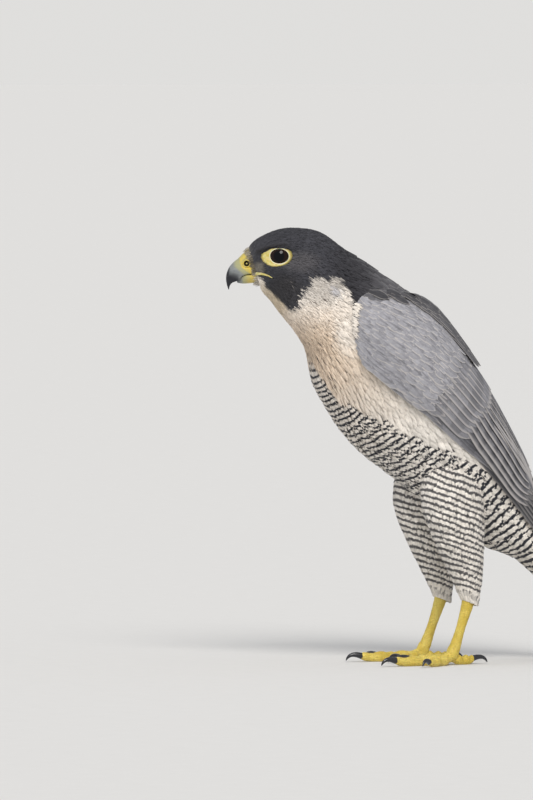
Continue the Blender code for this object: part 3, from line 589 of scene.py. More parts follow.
def hood_colour(at, angle, x, y, grain):
    """The dark feathers of crown, nape, moustache, lores and forehead; painted shadow under the eye's
    ridge.
    """
    hood = blend(SLATE, CHEEK, spot(x, y, *CHEEK_SPOT))
    hood = blend(hood, NAPE, smooth(*NAPE_ACROSS, x))
    hood = blend(hood, MOUSTACHE, spot(x, y, *MOUSTACHE_SPOT) * smooth(*MOUSTACHE_DOWN, y))
    # Painted shadow: a darker line just under the ridge over the eye, fading out towards the back of the
    # head.
    brow_shadow = np.exp(-((path_distance(BROW, x, y + 0.5) / 2.2) ** 2))
    hood = blend(hood, np.array(MOUSTACHE) * 0.7, brow_shadow * (1 - smooth(*BROW_SHADOW_FADES_ACROSS, x)))
    hood = blend(hood, LORES, spot(x, y, *LORE_SPOT) * 0.6)
    forehead = (1 - smooth(0.30, 0.52, at)) * (1 - smooth(1.1, 1.9, angle))
    return blend(hood, LORES, forehead * (0.4 + 0.4 * grain))


def breast_colour(at, angle, x, y, below):
    """The pale feathers of cheek, throat, breast and belly."""
    breast = blend(CREAM, BUFF, smooth(*BUFF_DOWN, y) * (1 - 0.85 * spot(x, y, *WHITE_SPOT)))
    breast = blend(breast, np.array(BUFF) * 0.82, spot(x, y, *BUFF_SPOT) * 0.5)
    # Painted shade: the cheek behind the moustache and the throat are darkened, the throat most in blue.
    breast = breast * (1 - 0.34 * spot(x, y, *SHADED_SPOT))[..., None]
    throat = spot(x, y, *THROAT_SHADE_SPOT)
    breast = breast * (1 - np.array((0.25, 0.31, 0.43)) * throat[..., None])
    breast = blend(breast, GREY_SMUDGE, spot(x, y, *SMUDGE_SPOT) * 0.6)
    low = smooth(5.0, 8.5, at) * smooth(1.0, 1.7, angle)
    return blend(breast, BELLY, np.maximum(low, 0.85 * below))


def plumage(at, angle):
    """Colour, strength of bars, of the shaft streak and of the pale edge at places on the body."""
    angle = folded(angle)
    points = body_point(at, angle, swell(at, angle))
    x, y = side_view(points)
    grain = noise_at(points, 2.2)
    patch = noise_at(points, 9.0, 31.0)
    dark = smooth(-1.1, 1.1, outline_distance(HOOD, x, y) + grain * 1.6)
    dark *= 1 - 0.30 * spot(x, y, *PALE_SPOT)
    border = np.interp(y, *zip(*BARRED_FROM))
    below = smooth(-2.5, 0.5, border - x + 2.0 * grain) * smooth(*BARS_DOWN, y)
    below = below * smooth(1.2, 1.6, angle)
    back = smooth(-0.22, 0.22, 1.28 - angle + 0.10 * grain) * smooth(4.3, 5.2, at + 0.5 * grain)
    upper = blend(NAPE, MANTLE, smooth(5.0, 6.4, at + 0.3 * patch))
    upper = blend(upper, RUMP, smooth(8.5, 11.5, at))
    colour = breast_colour(at, angle, x, y, below)
    colour = blend(colour, hood_colour(at, angle, x, y, grain), dark)
    colour = blend(colour, upper, back)
    colour = colour * (1 + 0.10 * patch + 0.05 * grain)[..., None]
    pale = (1 - dark) * (1 - back)
    bars = pale * below + back * smooth(9.0, 11.0, at) * 0.5
    most, some = (spot(x, y, *place) for place in STREAKED_SPOTS)
    streak = STREAK_STRENGTH * pale * np.clip(most + 0.2 * some, 0, 1) * (1 - below)
    edge = back * smooth(5.5, 6.6, at) * 0.55
    return colour, bars, streak, edge


def new_mesh(name, points, quads, material, round_off=True):
    """An object from plan points and four-cornered faces, which all look outwards."""
    faces = np.asarray(quads, np.int32)
    a, b, c, d = (points[faces[:, k]] for k in range(4))
    if np.sum(np.cross(a, b) * c + np.cross(a, c) * d) < 0:
        faces = faces[:, ::-1]
    mesh = bpy.data.meshes.new(name)
    mesh.vertices.add(len(points))
    mesh.vertices.foreach_set("co", place(points).astype(np.float32).ravel())
    mesh.loops.add(faces.size)
    mesh.loops.foreach_set("vertex_index", faces.ravel())
    mesh.polygons.add(len(faces))
    mesh.polygons.foreach_set("loop_start", np.arange(0, faces.size, 4, dtype=np.int32))
    mesh.update(calc_edges=True)
    if round_off:
        mesh.shade_smooth()
    mesh.materials.append(material)
    made = bpy.data.objects.new(name, mesh)
    bpy.context.scene.collection.objects.link(made)
    return made


def point_values(mesh, name, kind, values):
    """Stores one value a point under this name."""
    field = mesh.attributes.new(name, kind, "POINT")
    key = "value" if kind == "FLOAT" else "color"
    field.data.foreach_set(key, np.asarray(values, np.float32).ravel())


def colour_values(mesh, name, colours):
    """Stores one colour a point under this name."""
    point_values(mesh, name, "FLOAT_COLOR", np.c_[colours, np.ones(len(colours))])


def body_home(at, angle):
    """Where places on the body lie on the unwrapped skin."""
    first, width = BODY_STRIP
    return np.stack([first + width * angle / (2 * math.pi), 0.01 + 0.98 * at / (BODY_ENDS + 0.5)], -1)


def thigh_home(side, at, share):
    """Where places on a thigh lie on the unwrapped skin, from the share of the way round it."""
    first, width = THIGH_STRIPS[side]
    return np.stack([first + width * share, 0.02 + 0.9 * at / 5.0], -1)


def set_uv(mesh, name, uv):
    """A UV map from one place a point."""
    corners = np.empty(len(mesh.loops), np.int32)
    mesh.loops.foreach_get("vertex_index", corners)
    layer = mesh.uv_layers.new(name=name)
    layer.data.foreach_set("uv", np.asarray(uv, np.float32)[corners].ravel())


def ring_quads(count, across):
    """Faces of a tube of count rings with across points each, the first ring first."""
    k = np.arange(across)
    r = np.arange(count - 1)[:, None]
    a, b = r * across + k, r * across + (k + 1) % across
    return np.stack([a, b, b + across, a + across], axis=-1).reshape(-1, 4)


def end_quads(first, across):
    """Faces that close a ring of an even number of points, starting at this point."""
    faces = [(first + i, first + i + 1, first + across - 2 - i, first + across - 1 - i)
             for i in range(across // 2 - 1)]
    return np.array(faces, int).reshape(-1, 4)


def tube_mesh(name, rings, material):
    """A closed body through rings of plan points."""
    rings = np.asarray(rings, float)
    count, across = rings.shape[:2]
    quads = [ring_quads(count, across), end_quads(0, across)[:, ::-1]]
    quads.append(end_quads((count - 1) * across, across))
    return new_mesh(name, rings.reshape(-1, 3), np.concatenate(quads), material)


def rings_along(path, radii, sides):
    """Rings round a path of plan points whose radius changes from point to point."""
    path = np.asarray(path, float)
    ways = unit(np.gradient(path, axis=0))
    across = np.cross(ways[0], UP)
    if np.linalg.norm(across) < 0.1:
        across = np.cross(ways[0], (0.0, 1.0, 0.0))
    rings = []
    for point, way, radius in zip(path, ways, radii):
        across = unit(across - way * (across @ way))
        rings.append(point + radius * wheel(circle(sides), across, np.cross(way, across)))
    return np.array(rings)


# Cross sections of a vane round from its left rim: share of the half width, height, and how far the
# shading leans sideways and outwards there.
THIN = ((-1.0, 0.0, -0.55, 0.8), (0.0, 1.0, 0.0, 1.0), (1.0, 0.0, 0.55, 0.8), (0.0, -0.4, 0.0, -1.0))
QUILLED = (
    (-1.0, -0.6, -0.5, 0.85), (-0.5, 0.35, -0.2, 1.0), (-0.045, 0.7, -0.3, 1.0),
    (0.0, 1.5, 0.0, 1.0), (0.045, 0.7, 0.3, 1.0), (0.5, 0.35, 0.2, 1.0),
    (1.0, -0.6, 0.5, 0.85), (0.0, -0.9, 0.0, -1.0),
)
SOFTNESS = 0.7


class Coat:
    """Vanes gathered for one piece: their points, shading, marks and places on the skin."""

    def __init__(self, name, section, rows):
        self.name, self.section, self.rows = name, np.array(section), rows
        self.points, self.facing, self.home = [], [], []
        self.tint, self.marks, self.stripes, self.start = [], [], [], []

    def add(self, path, outward, half_width, camber, tint, marks, home, stripes=2.0, start=0.0):
        """Vanes along paths (vane, row, 3) with outward directions alike and half widths (vane, row)."""
        lie = unit(np.gradient(path, axis=1))
        side = unit(np.cross(outward, lie))
        x, z, lean, face = self.section.T
        reach = half_width[..., None, None] * x[:, None] * side[:, :, None, :]
        rise = np.asarray(camber)[..., None, None] * z[:, None] * outward[:, :, None, :]
        self.points.append(path[:, :, None, :] + reach + rise)
        square = unit(np.cross(lie, side))
        square = unit(outward * SOFTNESS + square * (1 - SOFTNESS))
        facing = side[:, :, None, :] * lean[:, None] + square[:, :, None, :] * face[:, None]
        self.facing.append(unit(facing))
        count = len(path)
        self.tint.append(np.broadcast_to(tint, (count, 3)))
        self.marks.append(np.broadcast_to(marks, (count, 3)))
        self.home.append(np.broadcast_to(home, (count, 2)))
        self.stripes.append(np.broadcast_to(stripes, (count,)))
        self.start.append(np.broadcast_to(start, (count,)))

    def build(self, material, patch):
        points = np.concatenate(self.points)
        count, rows, across = points.shape[:3]
        size = rows * across
        one = [ring_quads(rows, across), end_quads(0, across)[:, ::-1]]
        one.append(end_quads((rows - 1) * across, across))
        one = np.concatenate(one)
        faces = (np.arange(count) * size)[:, None, None] + one
        made = new_mesh(self.name, points.reshape(-1, 3), faces.reshape(-1, 4), material)
        mesh = made.data
        u = np.broadcast_to((self.section[:, 0] + 1) / 2, (rows, across))
        v = np.broadcast_to(np.linspace(0, 1, rows)[:, None], (rows, across))
        own = np.stack([u, v], axis=-1).reshape(size, 2)
        set_uv(mesh, "Vane", np.tile(own, (count, 1)))
        home = np.repeat(np.concatenate(self.home), size, axis=0)
        set_uv(mesh, "OFBake", home + (np.tile(own, (count, 1)) - 0.5) * patch)
        for name, values in (("tint", self.tint), ("marks", self.marks)):
            colour_values(mesh, name, np.repeat(np.concatenate(values), size, axis=0))
        for name, values in (("stripes", self.stripes), ("start", self.start)):
            point_values(mesh, name, "FLOAT", np.repeat(np.concatenate(values), size))
        # Plan directions (forward, left, up) as scene directions.
        facing = np.concatenate(self.facing).reshape(-1, 3)
        mesh.normals_split_custom_set_from_vertices(facing[:, (1, 0, 2)] * (1, -1, 1))
        print(self.name, count, "vanes", len(mesh.polygons) * 2, "triangles")
        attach(made, "root")
        return made


def vane_outline(rows, tip_from=0.55, tip_power=2.2, root=0.35):
    """Half widths from root to tip, as shares of the widest."""
    share = np.linspace(0, 1, rows)
    tip = np.clip((share - tip_from) / (1 - tip_from), 0, 1)
    return np.maximum(root + (1 - root) * smooth(0, 0.45, share) - tip**tip_power, 0.06)


def staggered(count, row, astray):
    """Places along a row as shares of it: every other row half a step on, each one a bit astray."""
    return (np.arange(count) + 0.5 * (row % 2) + RANDOM.uniform(-astray, astray, count)) / count


def body_lattice(start, end, spacing, off_back):
    """Staggered places over the body, spaced by a function of the place and clear of the back line."""
    fine = np.linspace(0, 2 * math.pi, 181)
    at, row = start, 0
    places, angles = [], []
    while at < end:
        step = float(spacing(at))
        ring = body_point(at, fine, -coat_depth(at))
        length = lengths(ring)
        count = max(3, round(length[-1] / step))
        share = staggered(count, row, 0.22)
        angle = np.interp((share % 1.0) * length[-1], length, fine)
        angles.append(angle)
        places.append(np.full(count, at) + RANDOM.uniform(-0.22, 0.22, count) * step / 18)
        along = body_point(at + 0.02, fine) - body_point(at, fine)
        at += 0.8 * step / (np.linalg.norm(along, axis=1).mean() / 0.02)
        row += 1
    at, angle = np.concatenate(places), np.concatenate(angles)
    keep = (angle >= off_back) & (angle <= 2 * math.pi - off_back) & (at >= 0)
    return at[keep], angle[keep]


def line_length(at):
    """Millimetres along the body's middle line up to this place."""
    fine = np.linspace(0, BODY_ENDS + 0.5, 300)
    row = through(BODY_ROWS, fine)
    return np.interp(at, fine, lengths((row[:, :2] + row[:, 2:4]) / 2))


def body_vanes(coat, at, angle, length, width, outline, lift, rough, camber, colours=None,
               depth=None, margin=0.15, vary=0.06, mingle=0.15):
    """Lays vanes over the body from these places, each following the surface."""
    count = len(at)
    depth = coat_depth(at) if depth is None else depth
    _, along, _ = body_frame(at, angle, -depth)
    reach = length * RANDOM.uniform(0.85, 1.15, count) / np.linalg.norm(along, axis=1)
    sway = RANDOM.normal(0, rough, count) * length / through(BODY_ROWS, at)[:, 4]
    raised = depth * (1 - RANDOM.uniform(0, 0.25, count))
    share = np.linspace(0, 1, coat.rows)

    def places_of(at):
        return np.clip(at, 0, BODY_ENDS + 0.4)

    def lay(share):
        places = places_of(at[:, None] + reach[:, None] * share)
        angles = angle[:, None] + sway[:, None] * share
        grow = swell(places, angles) - depth[:, None] + raised[:, None] * smooth(0, 0.5, share)
        return body_frame(places, angles, grow + lifted[:, None] * share**2)

    lifted = lift * RANDOM.uniform(-0.5, 1.0, count)
    fine = np.linspace(0, 1, 9)
    bare = kept_bare(lay(fine)[0], margin)
    room = np.where(bare.any(axis=1), fine[bare.argmax(axis=1)], 1.0)
    keep = room > 0.35
    reach = reach * room
    path, _, outward = lay(share)
    half = (width * RANDOM.uniform(0.85, 1.15, count) / 2)[:, None] * outline
    if colours is None:
        read = 0.6 + mingle * RANDOM.uniform(-1.0, 1.0, count)
        colours = plumage(places_of(at + read * reach), angle + read * sway)
    tint, bars, streak, edge = colours
    tint = tint * (1 + vary * RANDOM.normal(0, 1, count))[:, None]
    marks = np.stack([bars, streak, edge], axis=-1)
    period = BAR_PERIOD * (1 + 0.3 * smooth(6, 11, at))
    begin = line_length(at) / period
    end = line_length(at + reach) / period
    start = begin + 0.45 * noise_at(path[:, 0], 16.0, 5.0) + 0.06 * RANDOM.normal(0, 1, count)
    home = body_home(at, angle)
    coat.add(path[keep], outward[keep], half[keep], np.full(half.shape, camber)[keep], tint[keep],
             marks[keep], home[keep], (end - begin)[keep], start[keep])


class Nodes:
    """A material's node tree, filled by short calls."""

    def __init__(self, name, **settings):
        self.material = bpy.data.materials.new(name)
        self.material.use_nodes = True
        self.tree = self.material.node_tree
        self.shader = self.tree.nodes["Principled BSDF"]
        for socket, value in settings.items():
            self.shader.inputs[socket.replace("_", " ")].default_value = value

    def node(self, kind, inputs=(), **settings):
        made = self.tree.nodes.new(kind)
        for key, value in settings.items():
            setattr(made, key, value)
        for key, value in dict(inputs).items():
            self.feed(made.inputs[key], value)
        return made

    def feed(self, socket, value):
        if isinstance(value, bpy.types.NodeSocket):
            self.tree.links.new(value, socket)
        else:
            socket.default_value = value

    def math(self, operation, *values):
        return self.node("ShaderNodeMath", enumerate(values), operation=operation).outputs[0]

    def step(self, value, low, high):
        inputs = {0: value, 1: low, 2: high, 3: 0.0, 4: 1.0}
        return self.node("ShaderNodeMapRange", inputs, interpolation_type="SMOOTHSTEP").outputs[0]

    def mix(self, share, a, b):
        made = self.node("ShaderNodeMix", data_type="RGBA")
        for socket, value in zip((made.inputs[0], made.inputs[6], made.inputs[7]), (share, a, b)):
            self.feed(socket, value)
        return made.outputs[2]

    def scaled(self, colour, factor):
        """A colour made brighter or darker by a factor."""
        return self.node("ShaderNodeVectorMath", {0: colour, 3: factor}, operation="SCALE").outputs[0]

    def noise(self, vector, scale, detail=2.0):
        inputs = {"Vector": vector, "Scale": scale, "Detail": detail}
        return self.node("ShaderNodeTexNoise", inputs).outputs["Fac"]

    def place(self):
        return self.node("ShaderNodeTexCoord").outputs["Object"]

    def attribute(self, name, output="Color"):
        return self.node("ShaderNodeAttribute", attribute_name=name).outputs[output]

    def bump(self, height, strength, distance):
        inputs = {"Height": height, "Strength": strength, "Distance": distance}
        self.feed(self.shader.inputs["Normal"], self.node("ShaderNodeBump", inputs).outputs[0])

    def colour(self, value):
        self.feed(self.shader.inputs["Base Color"], value)


def feather_material():
    """Vanes: their own tint, bars across, a dark streak on the shaft and a pale edge."""
    n = Nodes("feather", Roughness=0.75, Specular_IOR_Level=0.25, Sheen_Weight=0.12,
              Sheen_Roughness=0.5)
    vane = n.node("ShaderNodeUVMap", uv_map="Vane").outputs[0]
    apart = n.node("ShaderNodeSeparateXYZ", {0: vane})
    u, v = apart.outputs[0], apart.outputs[1]
    side = n.math("ABSOLUTE", n.math("MULTIPLY_ADD", u, 2.0, -1.0))
    marks = n.node("ShaderNodeSeparateColor", {0: n.attribute("marks")})
    bars, streak, edge = marks.outputs
    place = n.place()
    grain = n.noise(place, 900.0, 3.0)
    home = n.node("ShaderNodeSeparateXYZ", {0: n.node("ShaderNodeUVMap", uv_map="OFBake").outputs[0]})
    down = n.node("ShaderNodeCombineXYZ", {
        0: n.math("MULTIPLY_ADD", home.outputs[0], 400.0, n.math("MULTIPLY", u, 5.0)),
        1: n.math("MULTIPLY_ADD", home.outputs[1], 400.0, n.math("MULTIPLY", v, 1.2)),
    }).outputs[0]
    hairs = n.noise(down, 1.0, 2.0)
    wander = n.math("MULTIPLY", n.math("SUBTRACT", n.noise(place, 300.0), 0.5), 0.35)
    reach = n.math("MULTIPLY_ADD", v, n.attribute("stripes", "Fac"), n.attribute("start", "Fac"))
    reach = n.math("ADD", n.math("MULTIPLY_ADD", side, -0.10, reach), wander)
    band = n.step(n.math("SINE", n.math("MULTIPLY", reach, 2 * math.pi)), 0.05, 0.35)
    barb_phase = n.math("MULTIPLY_ADD", v, 150.0, n.math("MULTIPLY", side, -60.0))
    barbs = n.math("SINE", barb_phase)
    shade = n.math("MULTIPLY_ADD", n.math("SUBTRACT", grain, 0.5), 0.5, 1.0)
    shade = n.math("MULTIPLY_ADD", barbs, 0.036, shade)
    shade = n.math("MULTIPLY_ADD", n.math("SUBTRACT", hairs, 0.5), 0.7, shade)
    colour = n.scaled(n.attribute("tint"), shade)
    colour = n.mix(n.math("MULTIPLY", band, bars), colour, DARK_BAR)
    line = n.math("SUBTRACT", 1.0, n.step(side, 0.04, 0.22))
    blot = n.math("SUBTRACT", 1.0, n.step(n.math("ABSOLUTE", n.math("SUBTRACT", v, 0.80)), 0.02, 0.10))
    blot = n.math("MULTIPLY", blot, n.math("SUBTRACT", 1.0, n.step(side, 0.15, 0.55)))
    line = n.math("MULTIPLY", n.math("MAXIMUM", line, blot), n.step(v, 0.3, 0.6))
    colour = n.mix(n.math("MULTIPLY", line, streak), colour, DARK_BAR)
    rim = n.math("MAXIMUM", n.step(side, 0.74, 0.95), n.step(v, 0.93, 0.985))
    pale = n.mix(0.75, n.attribute("tint"), PALE_EDGE)
    colour = n.mix(n.math("MULTIPLY", rim, edge), colour, pale)
    n.colour(colour)
    n.bump(n.math("MULTIPLY_ADD", barbs, 0.5, grain), 0.25, 0.0002)
    return n.material


def skin_material():
    """The skin under the coat, in the coat's own colours."""
    n = Nodes("skin", Roughness=0.85, Specular_IOR_Level=0.2)
    grain = n.noise(n.place(), 700.0, 3.0)
    shade = n.math("MULTIPLY_ADD", n.math("SUBTRACT", grain, 0.5), 0.5, 0.85)
    n.colour(n.scaled(n.attribute("tint"), shade))
    n.bump(grain, 0.4, 0.0006)
    return n.material


def bare_material():
    """The ring round the eye and the gape: pale yellow skin, whitish at the lid's rim, with painted
    olive shade at the ring's outer edge.
    """
    n = Nodes("yellow_skin", Roughness=0.5, Specular_IOR_Level=0.35, Subsurface_Weight=0.12,
              Subsurface_Scale=0.0008)
    place = n.place()
    lid = n.attribute("lid", "Fac")
    patch = n.step(n.noise(place, 330.0, 3.0), 0.38, 0.66)
    colour = n.mix(patch, *YELLOW_SKIN)
    colour = n.mix(n.step(lid, 0.35, 0.9), colour, LID_RIM)
    # Painted shade: dark olive where the lid value falls below zero.
    colour = n.mix(n.step(lid, 0.02, -0.9), colour, RING_FOOT_SHADE)
    pores = n.node("ShaderNodeTexVoronoi", {"Vector": place, "Scale": 2400.0}).outputs["Distance"]
    n.colour(n.mix(n.math("MULTIPLY", n.step(pores, 0.3, 0.8), 0.35), colour, PORE))
    n.bump(n.math("ADD", pores, n.noise(place, 700.0, 3.0)), 0.4, 0.0003)
    return n.material


def bill_material():
    """Yellow cere, greenish base, blue-grey horn and black tip, from the mesh's own tones."""
    n = Nodes("horn", Roughness=0.33, Specular_IOR_Level=0.45, Coat_Weight=0.15, Coat_Roughness=0.2)
    tone = n.node("ShaderNodeSeparateColor", {0: n.attribute("tone")})
    cere, horn, tip = tone.outputs
    place = n.place()
    cloud = n.noise(place, 330.0, 3.0)
    grown = n.node("ShaderNodeMapping", {"Vector": place, "Scale": (1.0, 1.0, 5.0)}).outputs[0]
    layers = n.noise(grown, 240.0, 4.0)
    yellow = n.mix(n.step(cloud, 0.35, 0.68), *CERE_YELLOWS)
    green = n.mix(layers, *HORN_GREENS)
    grey = n.mix(layers, *HORN_GREYS)
    colour = n.mix(n.step(horn, 0.0, 1.0), green, grey)
    colour = n.mix(cere, colour, yellow)
    # The black also paints the shade down the nostrils, which comes in as their tip share.
    colour = n.mix(tip, colour, BILL_TIP)
    n.colour(colour)
    pores = n.node("ShaderNodeTexVoronoi", {"Vector": place, "Scale": 1700.0}).outputs["Distance"]
    height = n.math("ADD", n.math("MULTIPLY", pores, cere), n.math("MULTIPLY", layers, 0.6))
    n.bump(height, 0.35, 0.0003)
    return n.material


def eye_material():
    """A very dark brown iris round a black pupil, wet and glossy."""
    n = Nodes("eye", Roughness=0.05, Specular_IOR_Level=0.22)
    pupil = n.attribute("pupil", "Fac")
    fibres = n.noise(n.place(), 900.0, 3.0)
    iris = n.mix(fibres, *IRIS)
    n.colour(n.mix(pupil, iris, PUPIL))
    return n.material


def scaly_material():
    """Legs and toes: yellow with small scales and darker lines between them."""
    n = Nodes("scaled_foot", Roughness=0.5, Specular_IOR_Level=0.4, Subsurface_Weight=0.08,
              Subsurface_Scale=0.0008)
    place = n.place()
    cells = n.node("ShaderNodeTexVoronoi", {"Vector": place, "Scale": 820.0},
                   feature="DISTANCE_TO_EDGE").outputs["Distance"]
    gap = n.step(cells, 0.0, 0.11)
    patch = n.step(n.noise(place, 90.0, 4.0), 0.3, 0.7)
    colour = n.mix(patch, *SCALE_YELLOWS)
    n.colour(n.mix(gap, SCALE_GAP, colour))
    n.bump(gap, 0.6, 0.0004)
    return n.material


def claw_material():
    """Black horn with faint streaks."""
    n = Nodes("claw", Roughness=0.25, Specular_IOR_Level=0.5, Coat_Weight=0.3, Coat_Roughness=0.1)
    streaks = n.noise(n.place(), 500.0, 4.0)
    n.colour(n.mix(streaks, *CLAW_BLACKS))
    n.bump(streaks, 0.15, 0.0002)
    return n.material


def body_solid():
    """The skin under the coat, from the forehead to the tail, as rings of plan points."""
    at = np.linspace(0.0, BODY_ENDS, 260)
    angle = np.linspace(0, 2 * math.pi, 145)[:-1]
    grid_at, grid_angle = np.meshgrid(at, angle, indexing="ij")
    grow = swell(grid_at, grid_angle) - coat_depth(grid_at)
    return body_point(grid_at, grid_angle, grow), grid_at, grid_angle


def thigh_solid(side):
    """A thigh's skin under its coat, as rings of plan points."""
    at = np.linspace(0.0, 5.0, 60)
    angle = np.linspace(0, 2 * math.pi, 61)[:-1] * side
    grid_at, grid_angle = np.meshgrid(at, angle, indexing="ij")
    return thigh_point(grid_at, np.abs(grid_angle), side, -THIGH_COAT_DEPTH * 0.8), grid_at


def build_skin(material):
    """One skin for head, neck, torso and thighs, with the coat's own colours on it."""
    rings, at, angle = body_solid()
    body = tube_mesh("skin", rings, material)
    tint, bars, _, _ = plumage(at, angle)
    tint = blend(tint, (0.05, 0.05, 0.06), bars * 0.4).reshape(-1, 3)
    colour_values(body.data, "tint", tint)
    set_uv(body.data, "OFBake", body_home(at, angle).reshape(-1, 2))
    seam_to_edge(body.data, *BODY_STRIP)
    joined(body, [thigh_skin(side, word, material) for side, word in SIDES])
    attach(body, "root")
    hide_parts("head", "neck", "torso", "left_thigh", "right_thigh")
    return body


def joined(body, others):
    """Makes one closed skin of the body and the thighs that grow out of it."""
    for other in others:
        union = body.modifiers.new(other.name, "BOOLEAN")
        union.operation, union.solver, union.object = "UNION", "MANIFOLD", other
    whole = body.evaluated_get(bpy.context.evaluated_depsgraph_get())
    mesh = bpy.data.meshes.new_from_object(whole)
    body.modifiers.clear()
    body.data = mesh
    for other in others:
        bpy.data.objects.remove(other)


def seam_to_edge(mesh, first, width):
    """Moves corners past the seam of a strip of the map, so that no face runs back across it."""
    layer = mesh.uv_layers["OFBake"]
    uv = np.empty(len(mesh.loops) * 2, np.float32)
    layer.data.foreach_get("uv", uv)
    u = uv.reshape(-1, 4, 2)[:, :, 0]
    over = (u.max(axis=1) - u.min(axis=1)) > width / 2
    u[over] = np.where(u[over] < first + width / 2, u[over] + width, u[over])
    layer.data.foreach_set("uv", uv)


def thigh_skin(side, word, material):
    """A thigh's own closed skin, before it is joined to the body's."""
    rings, at = thigh_solid(side)
    thigh = tube_mesh(word + "_thigh_skin", rings, material)
    tint = np.broadcast_to(BELLY, (at.size, 3))
    colour_values(thigh.data, "tint", tint)
    share = np.tile(np.linspace(0, 1, rings.shape[1], endpoint=False), (len(rings), 1))
    set_uv(thigh.data, "OFBake", thigh_home(side, at, share).reshape(-1, 2))
    seam_to_edge(thigh.data, *THIGH_STRIPS[side])
    return thigh


def spaced(table):
    """The distance from vane to vane as a function of the place along the body."""
    return lambda at: np.interp(at, *zip(*table))


def above(angle, limit):
    """Which angles lie within this far of the back line."""
    return np.minimum(angle, 2 * math.pi - angle) < limit


def lay_coat(name, slot, material, section, ends, spacing, sizes, outline, off_back=0.0, within=None,
             **laid):
    """One piece of the coat between two sections; sizes gives its vanes' lengths and widths."""
    coat = Coat(name, section, len(outline))
    at, angle = body_lattice(*ends, spacing, off_back)
    if within is not None:
        keep = above(angle, within(at))
        at, angle = at[keep], angle[keep]
    length, width = sizes(at, spacing(at))
    body_vanes(coat, at, angle, length, width, outline=outline, **laid)
    finish_coat(coat, material)


def build_coat(material):
    """The small feathers of head, neck, breast, belly, back and thighs."""
    lay_coat("head_coat", "slate_feather", material, THIN, (0.26, 3.3), spaced(HEAD_SPACING),
             lambda at, size: (size * 4.3, size * 1.15), vane_outline(4, 0.35, 1.4, 0.5),
             lift=0.2, rough=0.12, camber=0.12, vary=0.08, margin=0.0)
    lay_coat("neck_coat", "slate_feather", material, THIN, (3.2, 5.5), spaced(NECK_SPACING),
             lambda at, size: (size * 4.6, size * 1.15), vane_outline(5, 0.4, 1.5, 0.5),
             lift=0.3, rough=0.12, camber=0.15, vary=0.07, mingle=0.3)
    lay_coat("head_down", "slate_feather", material, THIN, (0.26, 5.2), lambda at: 1.08 + 0.09 * at,
             lambda at, size: (3.6 + 1.0 * at, 0.46), vane_outline(3, 0.6, 2.0, 0.7),
             lift=0.35, rough=0.18, camber=0.1, vary=0.20, margin=-0.2, mingle=0.5)
    lay_coat("breast_coat", "pale_feather", material, THIN, (5.2, 12.5), spaced(BREAST_SPACING),
             lambda at, size: (size * 3.8, size * 1.3), vane_outline(6, 0.45, 1.9, 0.4),
             off_back=1.0, lift=0.3, rough=0.09, camber=0.2, vary=0.04)
    lay_coat("breast_down", "pale_feather", material, THIN, (3.4, 9.2), lambda at: 1.75 + 0.12 * at,
             lambda at, size: (5.5 + 0.6 * at, 0.70), vane_outline(4, 0.5, 1.6, 0.6),
             off_back=1.05, lift=0.5, rough=0.14, camber=0.15, vary=0.09, mingle=0.4)
    dark_streaks(material)
    lay_coat("mantle_coat", "grey_feather", material, QUILLED, (4.7, 13.4), spaced(MANTLE_SPACING),
             lambda at, size: (size * 2.5, size * 1.45), vane_outline(10, 0.55, 3.2, 0.4),
             within=lambda at: 1.32 - 0.50 * (1 - smooth(5.0, 6.6, at)),
             lift=0.5, rough=0.06, camber=0.35)
    lay_coat("under_tail_coat", "pale_feather", material, THIN, (11.0, 13.9),
             spaced(UNDER_TAIL_SPACING), lambda at, size: (size * 4.2, size * 1.5), vane_outline(6),
             off_back=1.2, lift=0.6, rough=0.06, camber=0.3)
    bristles(material)
    for side, word in SIDES:
        thigh_coat(side, word, material)


def dark_streaks(material):
    """The short dark shafts on the breast and beside the throat."""
    coat = Coat("breast_streaks", THIN, 5)
    at, angle = body_lattice(4.0, 9.0, lambda at: 4.4, 1.3)
    _, bars, streak, _ = plumage(at, angle)
    keep = RANDOM.uniform(0, 1, len(at)) < streak / STREAK_STRENGTH * 0.5 * (1 - bars)
    at, angle = at[keep], angle[keep]
    count = len(at)
    tint = np.array(SHAFT) * RANDOM.uniform(0.7, 1.8, count)[:, None]
    none = np.zeros(count)
    width = RANDOM.uniform(0.5, 1.0, count)
    body_vanes(coat, at, angle, RANDOM.uniform(4.0, 7.0, count), width, lift=0.3, rough=0.12,
               depth=np.full(count, 0.2), outline=vane_outline(5, 0.4, 1.6, 0.3), camber=0.1,
               colours=(tint, none, none, none))
    finish_coat(coat, material)


